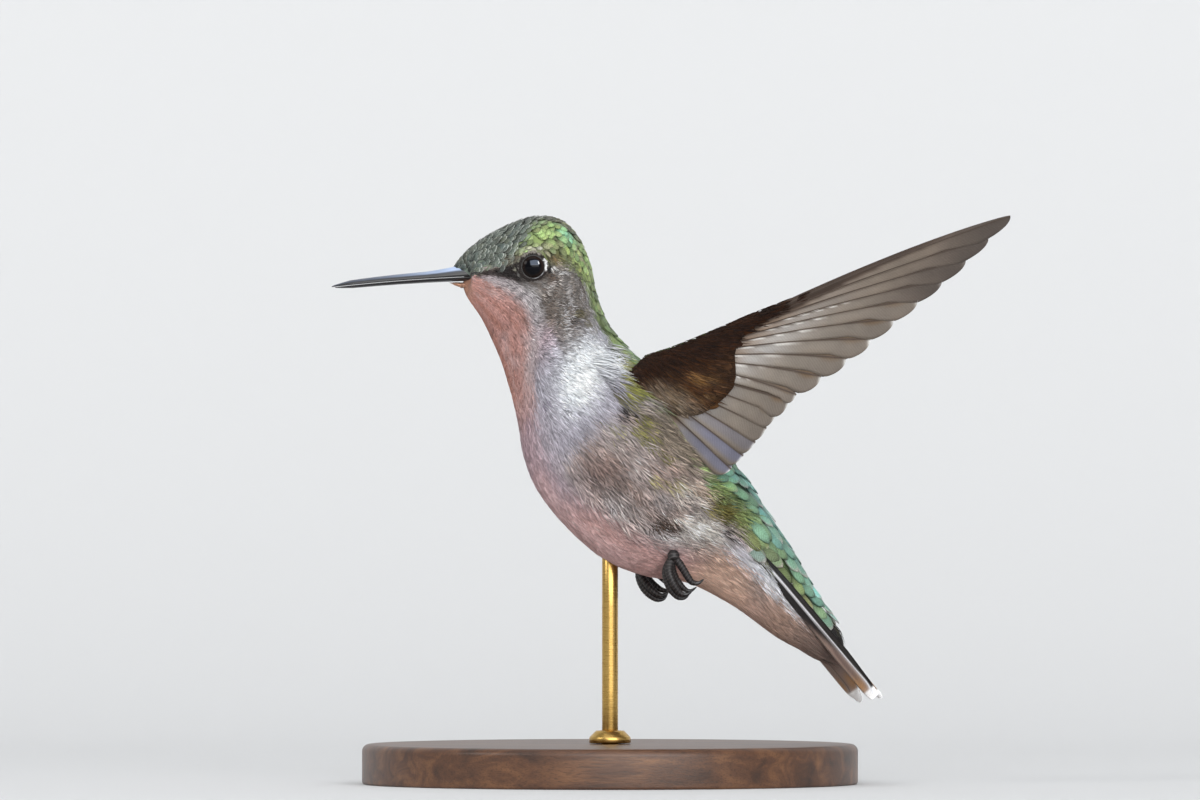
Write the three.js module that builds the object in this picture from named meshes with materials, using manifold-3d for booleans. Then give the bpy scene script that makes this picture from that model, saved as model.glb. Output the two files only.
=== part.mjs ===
// A female ruby-throated hummingbird hovering over a small display stand, life size.
// Millimetres, +Z up. The bird faces -X and its left side faces -Y. The origin is the centre of
// the stand's flat underside. The trunk hangs at about 45 degrees, the bill is level, and both
// wings are swept up and back, at the end of the back stroke. Behind the shoulders the trunk
// twists a little, so that the tail shows its underside to the bird's left.
import * as THREE from "three";
import { mergeVertices } from "three/addons/utils/BufferGeometryUtils.js";
import Module from "manifold-3d";

const wasm = await Module();
wasm.setup();

// ---------------------------------------------------------------- driving dimensions
const GAP = 0.3; // thin cut between two pieces, and the room round a piece that is let into another
const TWIST = THREE.MathUtils.degToRad(20); // turn of the tail about its own axis
const BILL_LENGTH = 15; // tip to the feathers of the forehead
const EYE_RADIUS = 2.0;
const WING_REACH = 49.7; // shoulder to wing tip, seen from the side
const WING_PITCH = THREE.MathUtils.degToRad(21.8); // rise of the leading edge, seen from the side
const WING_SPREAD = 0.38; // sideways travel of the wing for each millimetre of reach
const FEATHER_THICKNESS = 0.55;
const TAIL_PITCH = THREE.MathUtils.degToRad(50); // slope of the tail below the horizon
const BASE_RADIUS = 31;
const BASE_THICKNESS = 5;
const ROD_RADIUS = 1;

// Outline of the feathered body, section by section. Each row gives the point on the underside and
// the point on the back, as x and z, then half the width, then how far the widest place sits
// towards the back (a positive share makes the section egg-shaped with its broad end up).
const SECTIONS = {
  bill_root: { under: [-18.4, 62.2], back: [-19.7, 64.5], half_width: 1.3, egg: 0 },
  chin: { under: [-17.8, 60.7], back: [-17.5, 67.1], half_width: 2.9, egg: 0.05 },
  lore: { under: [-16.1, 58.2], back: [-14.4, 69.2], half_width: 4.6, egg: 0.1 },
  eye: { under: [-14.6, 55.1], back: [-9.4, 71.1], half_width: 6.3, egg: 0.14 },
  crown: { under: [-13.5, 52.4], back: [-5.2, 70.1], half_width: 6.8, egg: 0.14 },
  occiput: { under: [-12.7, 49.7], back: [-2.5, 65.7], half_width: 6.6, egg: 0.1 },
  nape: { under: [-12.1, 47.4], back: [-1.5, 61.1], half_width: 6.2, egg: 0.04 },
  neck: { under: [-11.5, 44.5], back: [0, 57.4], half_width: 6.4, egg: 0 },
  collar: { under: [-10.9, 40.9], back: [3.2, 53.7], half_width: 7.7, egg: 0 },
  shoulder: { under: [-9.4, 37], back: [7.2, 49.9], half_width: 8.9, egg: 0 },
  chest: { under: [-6, 32.5], back: [11.6, 44.9], half_width: 9.4, egg: -0.04 },
  belly: { under: [-0.8, 28], back: [15.2, 40.8], half_width: 8.8, egg: -0.05 },
  flank: { under: [4.4, 25.9], back: [17.5, 37.8], half_width: 7.5, egg: -0.04 },
  vent: { under: [9.8, 25], back: [19.8, 34.1], half_width: 5.9, egg: 0 },
  tail_root: { under: [15.6, 22], back: [22.8, 29.2], half_width: 4.6, egg: 0 },
  coverts: { under: [20.6, 18.4], back: [25.9, 23.8], half_width: 4.1, egg: 0 },
  covert_tips: { under: [24.3, 16.5], back: [28.7, 19.7], half_width: 3, egg: 0 },
};
const SECTION_NAMES = Object.keys(SECTIONS);
const LAST_SECTION = SECTION_NAMES.length - 1;

// ---------------------------------------------------------------- helpers
const point = (x, z) => new THREE.Vector3(x, 0, z);
const mix = THREE.MathUtils.lerp;
const mixPoints = (a, b, share) => a.clone().lerp(b, share);
const smooth = (points) => new THREE.CatmullRomCurve3(points, false, "catmullrom", 0.5);

// A closed skin: rings of points from one pole to the other, made by moving a sphere's vertices.
// place(t, angle) gives the point at share t of the length and at an angle round the ring.
function wrap(along, around, place) {
  const geometry = new THREE.SphereGeometry(1, around, along);
  const position = geometry.getAttribute("position");
  for (let ring = 0; ring <= along; ring++)
    for (let step = 0; step <= around; step++) {
      const t = THREE.MathUtils.clamp((ring - 1) / (along - 2), 0, 1);
      const angle = ((step % around) / around) * 2 * Math.PI;
      const pole = ring === 0 || ring === along;
      const p = pole ? place(t, 0).lerp(place(t, Math.PI), 0.5) : place(t, angle);
      position.setXYZ(ring * (around + 1) + step, p.x, p.y, p.z);
    }
  return geometry;
}

// A tube along a curve whose radius is radiusAt(t).
function limb(curve, radiusAt, along, around) {
  const frames = curve.computeFrenetFrames(along, false);
  return wrap(along, around, (t, angle) => {
    const k = Math.round(t * along);
    const spoke = frames.normals[k].clone().multiplyScalar(Math.cos(angle));
    spoke.addScaledVector(frames.binormals[k], Math.sin(angle));
    return curve.getPointAt(t).addScaledVector(spoke, radiusAt(t));
  });
}

function solidOf(source) {
  const geometry = source.clone();
  geometry.deleteAttribute("normal");
  geometry.deleteAttribute("uv");
  const merged = mergeVertices(geometry, 1e-4);
  const faces = new Uint32Array(merged.index.array);
  const build = () =>
    new wasm.Manifold(
      new wasm.Mesh({
        numProp: 3,
        vertProperties: merged.getAttribute("position").array,
        triVerts: faces,
      }),
    );
  const solid = build();
  if (solid.volume() > 0) return solid;
  for (let i = 0; i < faces.length; i += 3)
    [faces[i], faces[i + 1]] = [faces[i + 1], faces[i]];
  return build();
}

// The largest piece of a solid, because a cut can leave slivers.
const largest = (solid) =>
  solid.decompose().sort((a, b) => b.volume() - a.volume())[0];

function geometryOf(solid) {
  const mesh = solid.getMesh();
  const position = new Float32Array(mesh.numVert * 3);
  for (let i = 0; i < mesh.numVert; i++)
    for (let k = 0; k < 3; k++)
      position[i * 3 + k] = mesh.vertProperties[i * mesh.numProp + k];
  const geometry = new THREE.BufferGeometry();
  geometry.setAttribute("position", new THREE.BufferAttribute(position, 3));
  geometry.setIndex(new THREE.BufferAttribute(new Uint32Array(mesh.triVerts), 1));
  geometry.computeVertexNormals();
  return geometry;
}

// ---------------------------------------------------------------- body
const underCurve = smooth(SECTION_NAMES.map((n) => point(...SECTIONS[n].under)));
const backCurve = smooth(SECTION_NAMES.map((n) => point(...SECTIONS[n].back)));
const breadthCurve = smooth(SECTION_NAMES.map((n) => point(SECTIONS[n].half_width, SECTIONS[n].egg)));
const shareAt = (name) => SECTION_NAMES.indexOf(name) / LAST_SECTION;

// The twist grows from nothing at the shoulder to its full value at the root of the tail.
const twistAt = (t) =>
  TWIST * THREE.MathUtils.smoothstep(t, shareAt("shoulder"), shareAt("tail_root"));

// Directions to the back and to the bird's right, once the pair is turned by a twist.
function turned(rise, twist) {
  const right = new THREE.Vector3(0, 1, 0);
  return {
    up: rise.clone().multiplyScalar(Math.cos(twist)).addScaledVector(right, Math.sin(twist)),
    side: right.clone().multiplyScalar(Math.cos(twist)).addScaledVector(rise, -Math.sin(twist)),
  };
}

// The middle, the half sizes and the two directions of the section at share t of the length.
function sectionAt(t) {
  const under = underCurve.getPoint(t);
  const back = backCurve.getPoint(t);
  const breadth = breadthCurve.getPoint(t);
  return {
    middle: mixPoints(under, back, 0.5),
    half_depth: under.distanceTo(back) / 2,
    half_width: breadth.x,
    egg: breadth.z,
    ...turned(back.clone().sub(under).normalize(), twistAt(t)),
  };
}

// A point of the coat's surface: angle 0 is the back, a quarter turn is the bird's right.
function coatPoint(t, angle, grow = 0) {
  const s = sectionAt(t);
  const height = (s.half_depth + grow) * Math.cos(angle);
  const breadth = (s.half_width + grow) * Math.sin(angle) * (1 + s.egg * Math.cos(angle));
  return s.middle.addScaledVector(s.up, height).addScaledVector(s.side, breadth);
}

const body = solidOf(wrap(42, 18, (t, angle) => coatPoint(t, angle)));
const bodyRoom = solidOf(wrap(42, 18, (t, angle) => coatPoint(t, angle, GAP)));

// Cuts a solid square to the body's length at two sections, half a gap inside each.
function between(solid, from, to) {
  let piece = solid;
  for (const [name, sense] of [[from, 1], [to, -1]]) {
    if (!name) continue;
    const { middle, up, side } = sectionAt(shareAt(name));
    const normal = side.cross(up).multiplyScalar(sense);
    piece = piece.trimByPlane(normal.toArray(), normal.dot(middle) + GAP / 2);
  }
  return largest(piece);
}

// ---------------------------------------------------------------- bill and eyes
const BILL = {
  root: point(-17.6, 63.4),
  slope: 0.035, // drop per millimetre of length near the root
  decurve: 0.0024, // further drop, growing with the square of the length
  upper: { root_height: 1, tip_height: 0.4, nostril_rise: 0.5 }, // heights above the gape line
  lower: { root_height: 0.62, tip_height: 0.3, nostril_rise: 0 }, // depths below it
  root_half_width: 1.15,
  tip_half_width: 0.42,
  hidden: 2.2, // length inside the face
};

function billLine(reach) {
  const drop = BILL.slope * reach + BILL.decurve * reach * reach;
  return point(BILL.root.x - reach, BILL.root.z - drop);
}

// One half of the bill, above (sense 1) or below (sense -1) the gape line.
function mandible(sense, length, { root_height, tip_height, nostril_rise }) {
  return solidOf(
    wrap(13, 10, (t, angle) => {
      const reach = t * length;
      const taper = Math.pow(1 - t, 0.55);
      const narrowing = mix(0.5, 1, Math.min(1, (1 - t) * 9));
      const flare = nostril_rise * THREE.MathUtils.smoothstep(1 - reach / 7, 0, 1);
      const height = mix(tip_height, root_height, taper) * narrowing + flare;
      const width = mix(BILL.tip_half_width, BILL.root_half_width, taper) * narrowing;
      const p = billLine(reach);
      const rise = Math.max(0, Math.sin(angle)) * height + GAP / 4;
      return new THREE.Vector3(p.x, Math.cos(angle) * width, p.z + sense * rise);
    }),
  );
}

const EYE = { x: -9.6, z: 64.6, out: 4.75 };
const eyeAt = (side) => new THREE.Vector3(EYE.x, side * EYE.out, EYE.z);
const ball = (centre, radius, steps) =>
  new THREE.SphereGeometry(radius, steps, steps / 2).translate(centre.x, centre.y, centre.z);

// ---------------------------------------------------------------- fans of flight feathers
// One sheet for a row of feathers that overlap like slats. Each feather is { base, tip } in the
// sheet's own plane, and edges holds the two lines that end the row. lay(a, b, lift) places a
// point of that plane in space, lifted off it by lift.
const COLUMNS = 4; // points across each feather
function fan(feathers, edges, lay, { along, step, bow, notch }) {
  const count = feathers.length;
  const seam = (i, row) => {
    if (i < 0) return edges[0][row];
    if (i >= count - 1) return edges[1][row];
    const base = mixPoints(feathers[i].base, feathers[i + 1].base, 0.5);
    if (row === "base") return base;
    const end = mixPoints(feathers[i].tip, feathers[i + 1].tip, 0.6);
    return end.addScaledVector(end.clone().sub(base).normalize(), -notch);
  };
  const across = (i, q, row) => {
    const [a, b] = [seam(i - 1, row), seam(i, row)];
    const inset = 0.12 / Math.max(a.distanceTo(b), 0.3);
    if (row === "base") return mixPoints(a, b, mix(inset, 1 - inset, q));
    const tip = feathers[i].tip;
    const round = mixPoints(tip, b, 0.5).addScaledVector(tip.clone().sub(a).normalize(), 0.15);
    return [mixPoints(a, b, inset), tip, round, mixPoints(a, b, 1 - inset)][Math.round(q * 3)];
  };
  const columns = count * COLUMNS - 1;
  const sheet = new THREE.BoxGeometry(1, 1, 1, columns, along, 1);
  const position = sheet.getAttribute("position");
  for (let k = 0; k < position.count; k++) {
    const column = Math.round((position.getX(k) + 0.5) * columns);
    const v = Math.round((position.getY(k) + 0.5) * along) / along;
    const i = Math.floor(column / COLUMNS);
    const q = (column % COLUMNS) / (COLUMNS - 1);
    const p = mixPoints(across(i, q, "base"), across(i, q, "tip"), v);
    p.z -= bow * Math.sin(Math.PI * v);
    const lift = step * q + Math.sign(position.getZ(k)) * (FEATHER_THICKNESS / 2);
    const placed = lay(p.x, p.z, lift);
    position.setXYZ(k, placed.x, placed.y, placed.z);
  }
  return solidOf(sheet);
}

// ---------------------------------------------------------------- wings
// The wing is drawn in its own plane: reach along the leading edge, chord towards the trailing one.
const SHOULDER = { x: 3.2, out: 6.2, z: 52.4 };
const PRIMARIES = 10;
const SECONDARIES = 6;
const trailingEdge = smooth([
  point(WING_REACH, 0.1),
  point(42.3, 3.2),
  point(33, 6.2),
  point(25.6, 8.7),
  point(18.5, 10.5),
  point(14.6, 11.8),
  point(11.2, 14),
  point(6.2, 16.5),
]);
const featherBases = [point(14.7, 0.3), point(6.4, 2.8), point(1.4, 6.4)];

// Where a point of the left wing's plane lies. Lift is towards the bird's left, so it raises the
// underside. The wing is hollow below, like any wing, and its trailing edge turns in at the body.
function layLeftWing(reach, chord, lift) {
  const camber = 0.9 * Math.sin(Math.PI * THREE.MathUtils.clamp(chord / 14, 0, 1));
  const out = SHOULDER.out + WING_SPREAD * reach - 0.08 * chord - camber + lift;
  const x = SHOULDER.x + reach * Math.cos(WING_PITCH) + chord * Math.sin(WING_PITCH);
  const z = SHOULDER.z + reach * Math.sin(WING_PITCH) - chord * Math.cos(WING_PITCH);
  return new THREE.Vector3(x, -out, z);
}

// Primaries take about two thirds of the trailing edge and the secondaries the rest.
function flightFeathers() {
  const [outer, wrist, elbow] = featherBases;
  const row = [];
  for (let i = 0; i < PRIMARIES; i++) {
    const share = i / (PRIMARIES - 1);
    const tip = trailingEdge.getPointAt(mix(0, 0.735, share));
    row.push({ tip, base: mixPoints(outer, wrist, share) });
  }
  for (let i = 0; i < SECONDARIES; i++) {
    const tip = trailingEdge.getPointAt(mix(0.76, 1, i / (SECONDARIES - 1)));
    row.push({ tip, base: mixPoints(wrist, elbow, (i + 1) / SECONDARIES) });
  }
  return row;
}

// The feathered arm: from the shoulder along the bones of arm and hand, as wide as the coverts.
const ARM = [
  { reach: -1.5, lead: 1.7, trail: 5.0, thick: 3.6 },
  { reach: 1.5, lead: -0.3, trail: 7.4, thick: 3.4 },
  { reach: 5.0, lead: -0.1, trail: 8.9, thick: 2.8 },
  { reach: 8.5, lead: -0.1, trail: 8.2, thick: 2.4 },
  { reach: 10.8, lead: -0.2, trail: 6.7, thick: 2.1 },
  { reach: 12.2, lead: -0.3, trail: 3.2, thick: 1.9 },
  { reach: 14.5, lead: -0.4, trail: 1.6, thick: 1.7 },
  { reach: 18.5, lead: -0.6, trail: 0.8, thick: 1.4 },
  { reach: 22.5, lead: -0.7, trail: 0.1, thick: 1.1 },
];
function leftArm(grow) {
  const lead = smooth(ARM.map((a) => point(a.reach, a.lead)));
  const trail = smooth(ARM.map((a) => point(a.reach, a.trail)));
  const thick = smooth(ARM.map((a) => point(a.thick, 0)));
  return solidOf(
    wrap(18, 10, (t, angle) => {
      const [a, b] = [lead.getPoint(t), trail.getPoint(t)];
      const p = mixPoints(a, b, 0.5 + (0.5 + grow / a.distanceTo(b)) * Math.cos(angle));
      const lengthen = grow * (2 * t - 1);
      return layLeftWing(p.x + lengthen, p.z, Math.sin(angle) * (thick.getPoint(t).x / 2 + grow));
    }),
  );
}

// The right wing is the left one reflected in the plane of the head.
const mirror = new THREE.Matrix4().makeScale(1, -1, 1);
const reflected = (solid) => solidOf(geometryOf(solid).applyMatrix4(mirror));

function leftWing() {
  const row = flightFeathers();
  const last = row[PRIMARIES - 1];
  const next = row[PRIMARIES];
  const settings = { along: 3, step: 0.28, bow: 0.5, notch: 0.9 };
  const outer = { base: point(15.5, -0.15), tip: point(WING_REACH - 0.4, -0.2) };
  const inner = { base: point(0.6, 7.2), tip: point(5.3, 15.8) };
  const split = { base: mixPoints(last.base, next.base, 0.5), tip: mixPoints(last.tip, next.tip, 0.5) };
  const half = next.tip.clone().sub(last.tip).normalize().multiplyScalar(GAP / 2);
  const before = { base: split.base.clone().sub(half), tip: split.tip.clone().sub(half) };
  const after = { base: split.base.clone().add(half), tip: split.tip.clone().add(half) };
  return {
    arm: leftArm(0),
    primaries: fan(row.slice(0, PRIMARIES), [outer, before], layLeftWing, settings),
    secondaries: fan(row.slice(PRIMARIES), [after, inner], layLeftWing, { ...settings, bow: 0 }),
  };
}

// ---------------------------------------------------------------- tail
const RECTRICES_A_SIDE = 5;
const TAIL_ROOT = point(15.9, 31.1);
const RECTRIX_LENGTHS = [24.2, 25.6, 26.5, 26.7, 26]; // from the middle pair to the outermost

function layTail(length, across, lift) {
  const { up, side } = turned(point(Math.sin(TAIL_PITCH), Math.cos(TAIL_PITCH)), TWIST);
  const along = point(Math.cos(TAIL_PITCH), -Math.sin(TAIL_PITCH));
  const arch = -0.02 * across * across; // the outer feathers lie lower than the middle pair
  return TAIL_ROOT.clone()
    .addScaledVector(along, length)
    .addScaledVector(side, across)
    .addScaledVector(up, arch + lift);
}

function tailFan() {
  const row = [];
  for (let k = -RECTRICES_A_SIDE; k <= RECTRICES_A_SIDE; k++) {
    if (k === 0) continue;
    const rank = k - Math.sign(k) * 0.5;
    row.push({ base: point(0, 0.88 * rank), tip: point(RECTRIX_LENGTHS[Math.abs(k) - 1], 0.95 * rank) });
  }
  const left = { base: point(0, -4.5), tip: point(24.8, -4.9) };
  const right = { base: point(0, 4.5), tip: point(24.8, 4.9) };
  return fan(row, [left, right], layTail, { along: 3, step: 0.15, bow: 0, notch: 0.6 });
}

// ---------------------------------------------------------------- legs and feet
// A foot hangs half clenched. Three front toes lie side by side: they run down from the knuckle,
// curl under and back, and end in hooked claws. The hind toe hangs behind them. Each path is given
// as steps from the knuckle, x then z, and aside is the shift of its end to the bird's right.
const TOE_RADIUS = 0.5;
const KNUCKLE_RADIUS = 0.8;
const CLAW_TIP_RADIUS = 0.17;
const TOES = {
  inner: { path: [[0, 0], [-0.2, -1.5], [0.4, -3], [1.3, -4.1], [2.1, -4.4], [2.9, -3.9]], aside: 0.75 },
  middle: { path: [[0, 0], [-0.9, -1.7], [-0.7, -3.5], [0.3, -5], [1.3, -5.3], [2.1, -4.7]], aside: 0 },
  outer: { path: [[0, 0], [-0.6, -1.6], [-0.1, -3.3], [0.8, -4.6], [1.7, -4.8], [2.5, -4.2]], aside: -0.75 },
  hind: { path: [[0, 0], [0.9, -1.2], [1.7, -2.5], [2.3, -3.3], [3.1, -3.4], [3.8, -2.9]], aside: 0 },
};
const TOES_INWARD = 0.28; // the toes hang inwards, towards the belly, by this share of their drop
function footSolid({ knuckle, lean }) {
  let foot = solidOf(ball(knuckle, KNUCKLE_RADIUS, 10));
  const right = new THREE.Vector3(0, 1, 0);
  for (const { path, aside } of Object.values(TOES)) {
    const points = path.map(([x, z], k) => {
      const sideways = aside * Math.min(1, k / 2) + Math.sign(knuckle.y) * TOES_INWARD * z;
      return new THREE.Vector3(x, sideways, z).applyAxisAngle(right, lean).add(knuckle);
    });
    const taper = (t) => mix(TOE_RADIUS, CLAW_TIP_RADIUS, THREE.MathUtils.smoothstep(t, 0.55, 1));
    foot = foot.add(solidOf(limb(smooth(points), taper, 9, 6)));
  }
  return foot;
}

// The leg stops short of the middle of the knuckle by a given length.
function legSolid({ hip, knuckle }, radius, short) {
  const end = mixPoints(knuckle, hip, short / hip.distanceTo(knuckle));
  return solidOf(limb(new THREE.LineCurve3(hip, end), () => radius, 3, 8));
}

// The hips lie inside the belly. The trunk's twist carries the left foot higher than the right.
const LEGS = {
  left: { hip: new THREE.Vector3(8.4, -3.2, 30.6), knuckle: new THREE.Vector3(7.9, -7.5, 28.6), lean: 0 },
  right: { hip: new THREE.Vector3(5.6, 1.6, 29.8), knuckle: new THREE.Vector3(4.1, 5, 27.9), lean: -0.25 },
};
const LEG_RADIUS = 0.5;

// ---------------------------------------------------------------- display stand
const ROD_FOOT = 2; // height of the bottom of the rod's hole in the base
const ROD_TOP = 31.5; // the rod ends inside the belly
const COLLAR = { inner: ROD_RADIUS + GAP, outer: 2.6, height: 1.6 };

function lathe(profile, steps) {
  const points = profile.map(([radius, height]) => new THREE.Vector2(radius, height));
  return solidOf(new THREE.LatheGeometry(points, steps).rotateX(Math.PI / 2));
}

function standBase() {
  const chamfer = 0.8;
  const hole = ROD_RADIUS + GAP;
  return lathe(
    [
      [0, 0],
      [BASE_RADIUS - 0.4, 0],
      [BASE_RADIUS, 0.4],
      [BASE_RADIUS, BASE_THICKNESS - chamfer],
      [BASE_RADIUS - chamfer, BASE_THICKNESS],
      [hole, BASE_THICKNESS],
      [hole, ROD_FOOT],
      [0, ROD_FOOT],
    ],
    36,
  );
}

const standRod = lathe(
  [[0, ROD_FOOT + GAP], [ROD_RADIUS, ROD_FOOT + GAP], [ROD_RADIUS, ROD_TOP], [0, ROD_TOP]],
  16,
);
const standCollar = lathe(
  [
    [COLLAR.inner, BASE_THICKNESS + 0.1],
    [COLLAR.outer, BASE_THICKNESS + 0.1],
    [COLLAR.outer, BASE_THICKNESS + COLLAR.height * 0.5],
    [COLLAR.inner + 0.4, BASE_THICKNESS + COLLAR.height],
    [COLLAR.inner, BASE_THICKNESS + COLLAR.height],
    [COLLAR.inner, BASE_THICKNESS + 0.1],
  ],
  20,
);
const rodRoom = lathe(
  [
    [0, 0],
    [ROD_RADIUS + GAP, 0],
    [ROD_RADIUS + GAP, ROD_TOP + GAP],
    [0, ROD_TOP + GAP],
  ],
  16,
);

// ---------------------------------------------------------------- assembly
const finish = (color, roughness, metalness = 0) =>
  new THREE.MeshStandardMaterial({ color, roughness, metalness });
const FINISHES = {
  crown: finish(0x6f7a3c, 0.6),
  breast: finish(0xcbbdb2, 0.9),
  belly: finish(0xc3aa9c, 0.9),
  rump: finish(0x4f9a6a, 0.6),
  horn: finish(0x15151a, 0.35),
  eye: finish(0x050506, 0.08),
  covert: finish(0x5a3d28, 0.75),
  vane: finish(0xa3978a, 0.6),
  rectrix: finish(0x3a3433, 0.6),
  walnut: finish(0x4a2f1e, 0.5),
  brass: finish(0xb08d4a, 0.3, 1),
};

const group = new THREE.Group();
function place(name, solid, material) {
  const mesh = new THREE.Mesh(geometryOf(solid), material);
  mesh.name = name;
  group.add(mesh);
}

let head = between(body, null, "nape");
for (const [name, side] of [["left", -1], ["right", 1]]) {
  head = head.subtract(solidOf(ball(eyeAt(side), EYE_RADIUS + GAP, 16)));
  place("eye_" + name, solidOf(ball(eyeAt(side), EYE_RADIUS, 16)), FINISHES.eye);
}
const upper = mandible(1, BILL_LENGTH + BILL.hidden, BILL.upper);
const lower = mandible(-1, BILL_LENGTH + BILL.hidden - 0.4, BILL.lower);
place("bill_upper", largest(upper.subtract(bodyRoom)), FINISHES.horn);
place("bill_lower", largest(lower.subtract(bodyRoom)), FINISHES.horn);
place("head", largest(head), FINISHES.crown);
place("neck", between(body, "nape", "collar"), FINISHES.breast);

let trunk = body.subtract(rodRoom);
for (const [name, leg] of Object.entries(LEGS)) {
  trunk = trunk.subtract(legSolid(leg, LEG_RADIUS + GAP, 0));
  place("leg_" + name, legSolid(leg, LEG_RADIUS, KNUCKLE_RADIUS + GAP), FINISHES.horn);
  place("foot_" + name, largest(footSolid(leg).subtract(bodyRoom)), FINISHES.horn);
}
place("breast", between(trunk, "collar", "chest"), FINISHES.breast);
place("belly", between(trunk, "chest", "vent"), FINISHES.belly);
place("rump", between(trunk, "vent", null), FINISHES.rump);

const { arm, primaries, secondaries } = leftWing();
const room = leftArm(GAP).add(bodyRoom);
const wingPieces = [
  ["arm", arm.subtract(bodyRoom), FINISHES.covert],
  ["primaries", primaries.subtract(room), FINISHES.vane],
  ["secondaries", secondaries.subtract(room), FINISHES.vane],
];
for (const [name, solid, material] of wingPieces) {
  place("wing_left_" + name, largest(solid), material);
  place("wing_right_" + name, reflected(largest(solid)), material);
}
place("tail", largest(tailFan().subtract(bodyRoom)), FINISHES.rectrix);

place("stand_base", standBase(), FINISHES.walnut);
place("stand_collar", standCollar, FINISHES.brass);
place("stand_rod", standRod, FINISHES.brass);

export default group;
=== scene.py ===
# %% [markdown]
# # A hummingbird on a display stand
# This notebook dresses a small bird in feathers. The bird is a female ruby-throated hummingbird,
# life size, held over a walnut disc by a thin brass rod. Its solids are already in the frame. Here
# each solid of flesh gives way to one skin with feathers laid over it, and the bill, eyes, feet,
# wings, tail and stand are made again with the detail that the eye expects at this size.
#
# Everything is worked out in millimetres, because a feather is easier to imagine at 2 mm than at
# 0.002 m, and turned to metres once, where a mesh is made.

# %% Load the frame
import bpy
import numpy as np
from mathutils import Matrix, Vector


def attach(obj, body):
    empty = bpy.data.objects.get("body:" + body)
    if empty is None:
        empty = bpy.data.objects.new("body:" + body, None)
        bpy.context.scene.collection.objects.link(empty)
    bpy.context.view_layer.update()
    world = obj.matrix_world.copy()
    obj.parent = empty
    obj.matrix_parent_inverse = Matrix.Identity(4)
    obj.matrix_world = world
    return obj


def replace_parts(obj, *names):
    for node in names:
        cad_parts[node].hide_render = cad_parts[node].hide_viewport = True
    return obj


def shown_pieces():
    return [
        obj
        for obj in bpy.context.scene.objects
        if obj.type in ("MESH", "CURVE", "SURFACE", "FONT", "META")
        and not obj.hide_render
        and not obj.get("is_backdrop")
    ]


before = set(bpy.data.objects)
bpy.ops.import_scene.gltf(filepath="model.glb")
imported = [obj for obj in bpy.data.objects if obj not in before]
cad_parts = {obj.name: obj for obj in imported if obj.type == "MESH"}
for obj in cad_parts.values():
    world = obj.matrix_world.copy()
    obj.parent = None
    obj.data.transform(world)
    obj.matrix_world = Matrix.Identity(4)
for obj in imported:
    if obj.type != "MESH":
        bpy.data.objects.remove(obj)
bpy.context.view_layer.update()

MM = 0.001
SIDES = (("left", -1), ("right", 1))  # the bird's left is towards -y
chance = np.random.default_rng(23)  # every random number comes from here, in a fixed order

# %% [markdown]
# ## Small tools
# Three numeric tools do most of the shaping: an ease curve from 0 to 1, a smooth curve through
# rows of numbers, and a soft random pattern. The last one is what breaks up every colour and every
# row of feathers, since nothing on a real bird repeats exactly.

# %% Ease, curve and mottle
def ease(x, low, high):
    """0 below low and 1 above high; between them 3s^2 - 2s^3 of the share s of the way."""
    s = np.clip((np.asarray(x, float) - low) / (high - low), 0, 1)
    return s * s * (3 - 2 * s)


def through(rows, x):
    """A smooth curve through rows of numbers, row k at x = k.

    Between two rows it is the cubic whose slope at each row is half the step between that row's
    neighbours. The first and last steps are repeated beyond the ends.
    """
    rows = np.asarray(rows, float)
    rows = np.vstack([2 * rows[0] - rows[1], rows, 2 * rows[-1] - rows[-2]])
    x = np.clip(np.asarray(x, float), 0, len(rows) - 3)
    k = np.clip(np.floor(x).astype(int), 0, len(rows) - 4)
    s = (x - k)[..., None]
    a, b, c, d = rows[k], rows[k + 1], rows[k + 2], rows[k + 3]
    m, n = (c - a) / 2, (d - b) / 2
    return (2 * b - 2 * c + m + n) * s**3 + (3 * c - 3 * b - 2 * m - n) * s**2 + m * s + b


def evenly(rows, share):
    """Points of the same curve at equal shares of its length, found by measuring it in 800 steps."""
    x = np.linspace(0, len(rows) - 1, 801)
    walked = np.linalg.norm(np.diff(through(rows, x), axis=0), axis=1)
    walked = np.concatenate([[0], np.cumsum(walked)])
    return through(rows, np.interp(np.asarray(share) * walked[-1], walked, x))


def mottle(points, size, seed):
    """Soft random spots from -1 to 1, size mm apart.

    Each corner of a cubic lattice gets a number scrambled from its whole coordinates, and a point
    blends the eight corners round it by the ease curve.
    """
    cell = np.asarray(points, float) / size
    corner = np.floor(cell).astype(np.int64)
    s = cell - corner
    s = s * s * (3 - 2 * s)
    total = np.zeros(cell.shape[:-1])
    for step in np.ndindex(2, 2, 2):
        i = corner + np.array(step)
        h = i[..., 0] * 374761393 + i[..., 1] * 668265263 + i[..., 2] * 2147483647 + seed * 97531
        h = ((h ^ (h >> 13)) * 1274126177) & 0xFFFFFFFF
        h = ((h ^ (h >> 16)) * 2246822519) & 0xFFFFFFFF
        weight = np.prod(np.where(np.array(step) == 1, s, 1 - s), axis=-1)
        total += weight * (((h ^ (h >> 15)) & 0xFFFF) / 32767.5 - 1)
    return total


def srgb(code):
    """Three shares of a hex colour, as it is written."""
    return np.array([int(code[i : i + 2], 16) for i in (1, 3, 5)]) / 255


def linear(colour):
    """Light energy of an sRGB colour, or of a hex code: c / 12.92, or ((c + 0.055) / 1.055)^2.4."""
    c = srgb(colour) if isinstance(colour, str) else np.clip(colour, 0, 1)
    return np.where(c <= 0.04045, c / 12.92, ((c + 0.055) / 1.055) ** 2.4)


def flat(code, *shape):
    """One hex colour for every place of an array."""
    return np.broadcast_to(srgb(code), (*shape, 3))


def painted(tint, *layers):
    """tint with layers over it, each a hex colour and its share: tint + (colour - tint) share."""
    for code, share in layers:
        tint = tint + (srgb(code) - tint) * np.clip(share, 0, 1)[..., None]
    return tint


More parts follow.
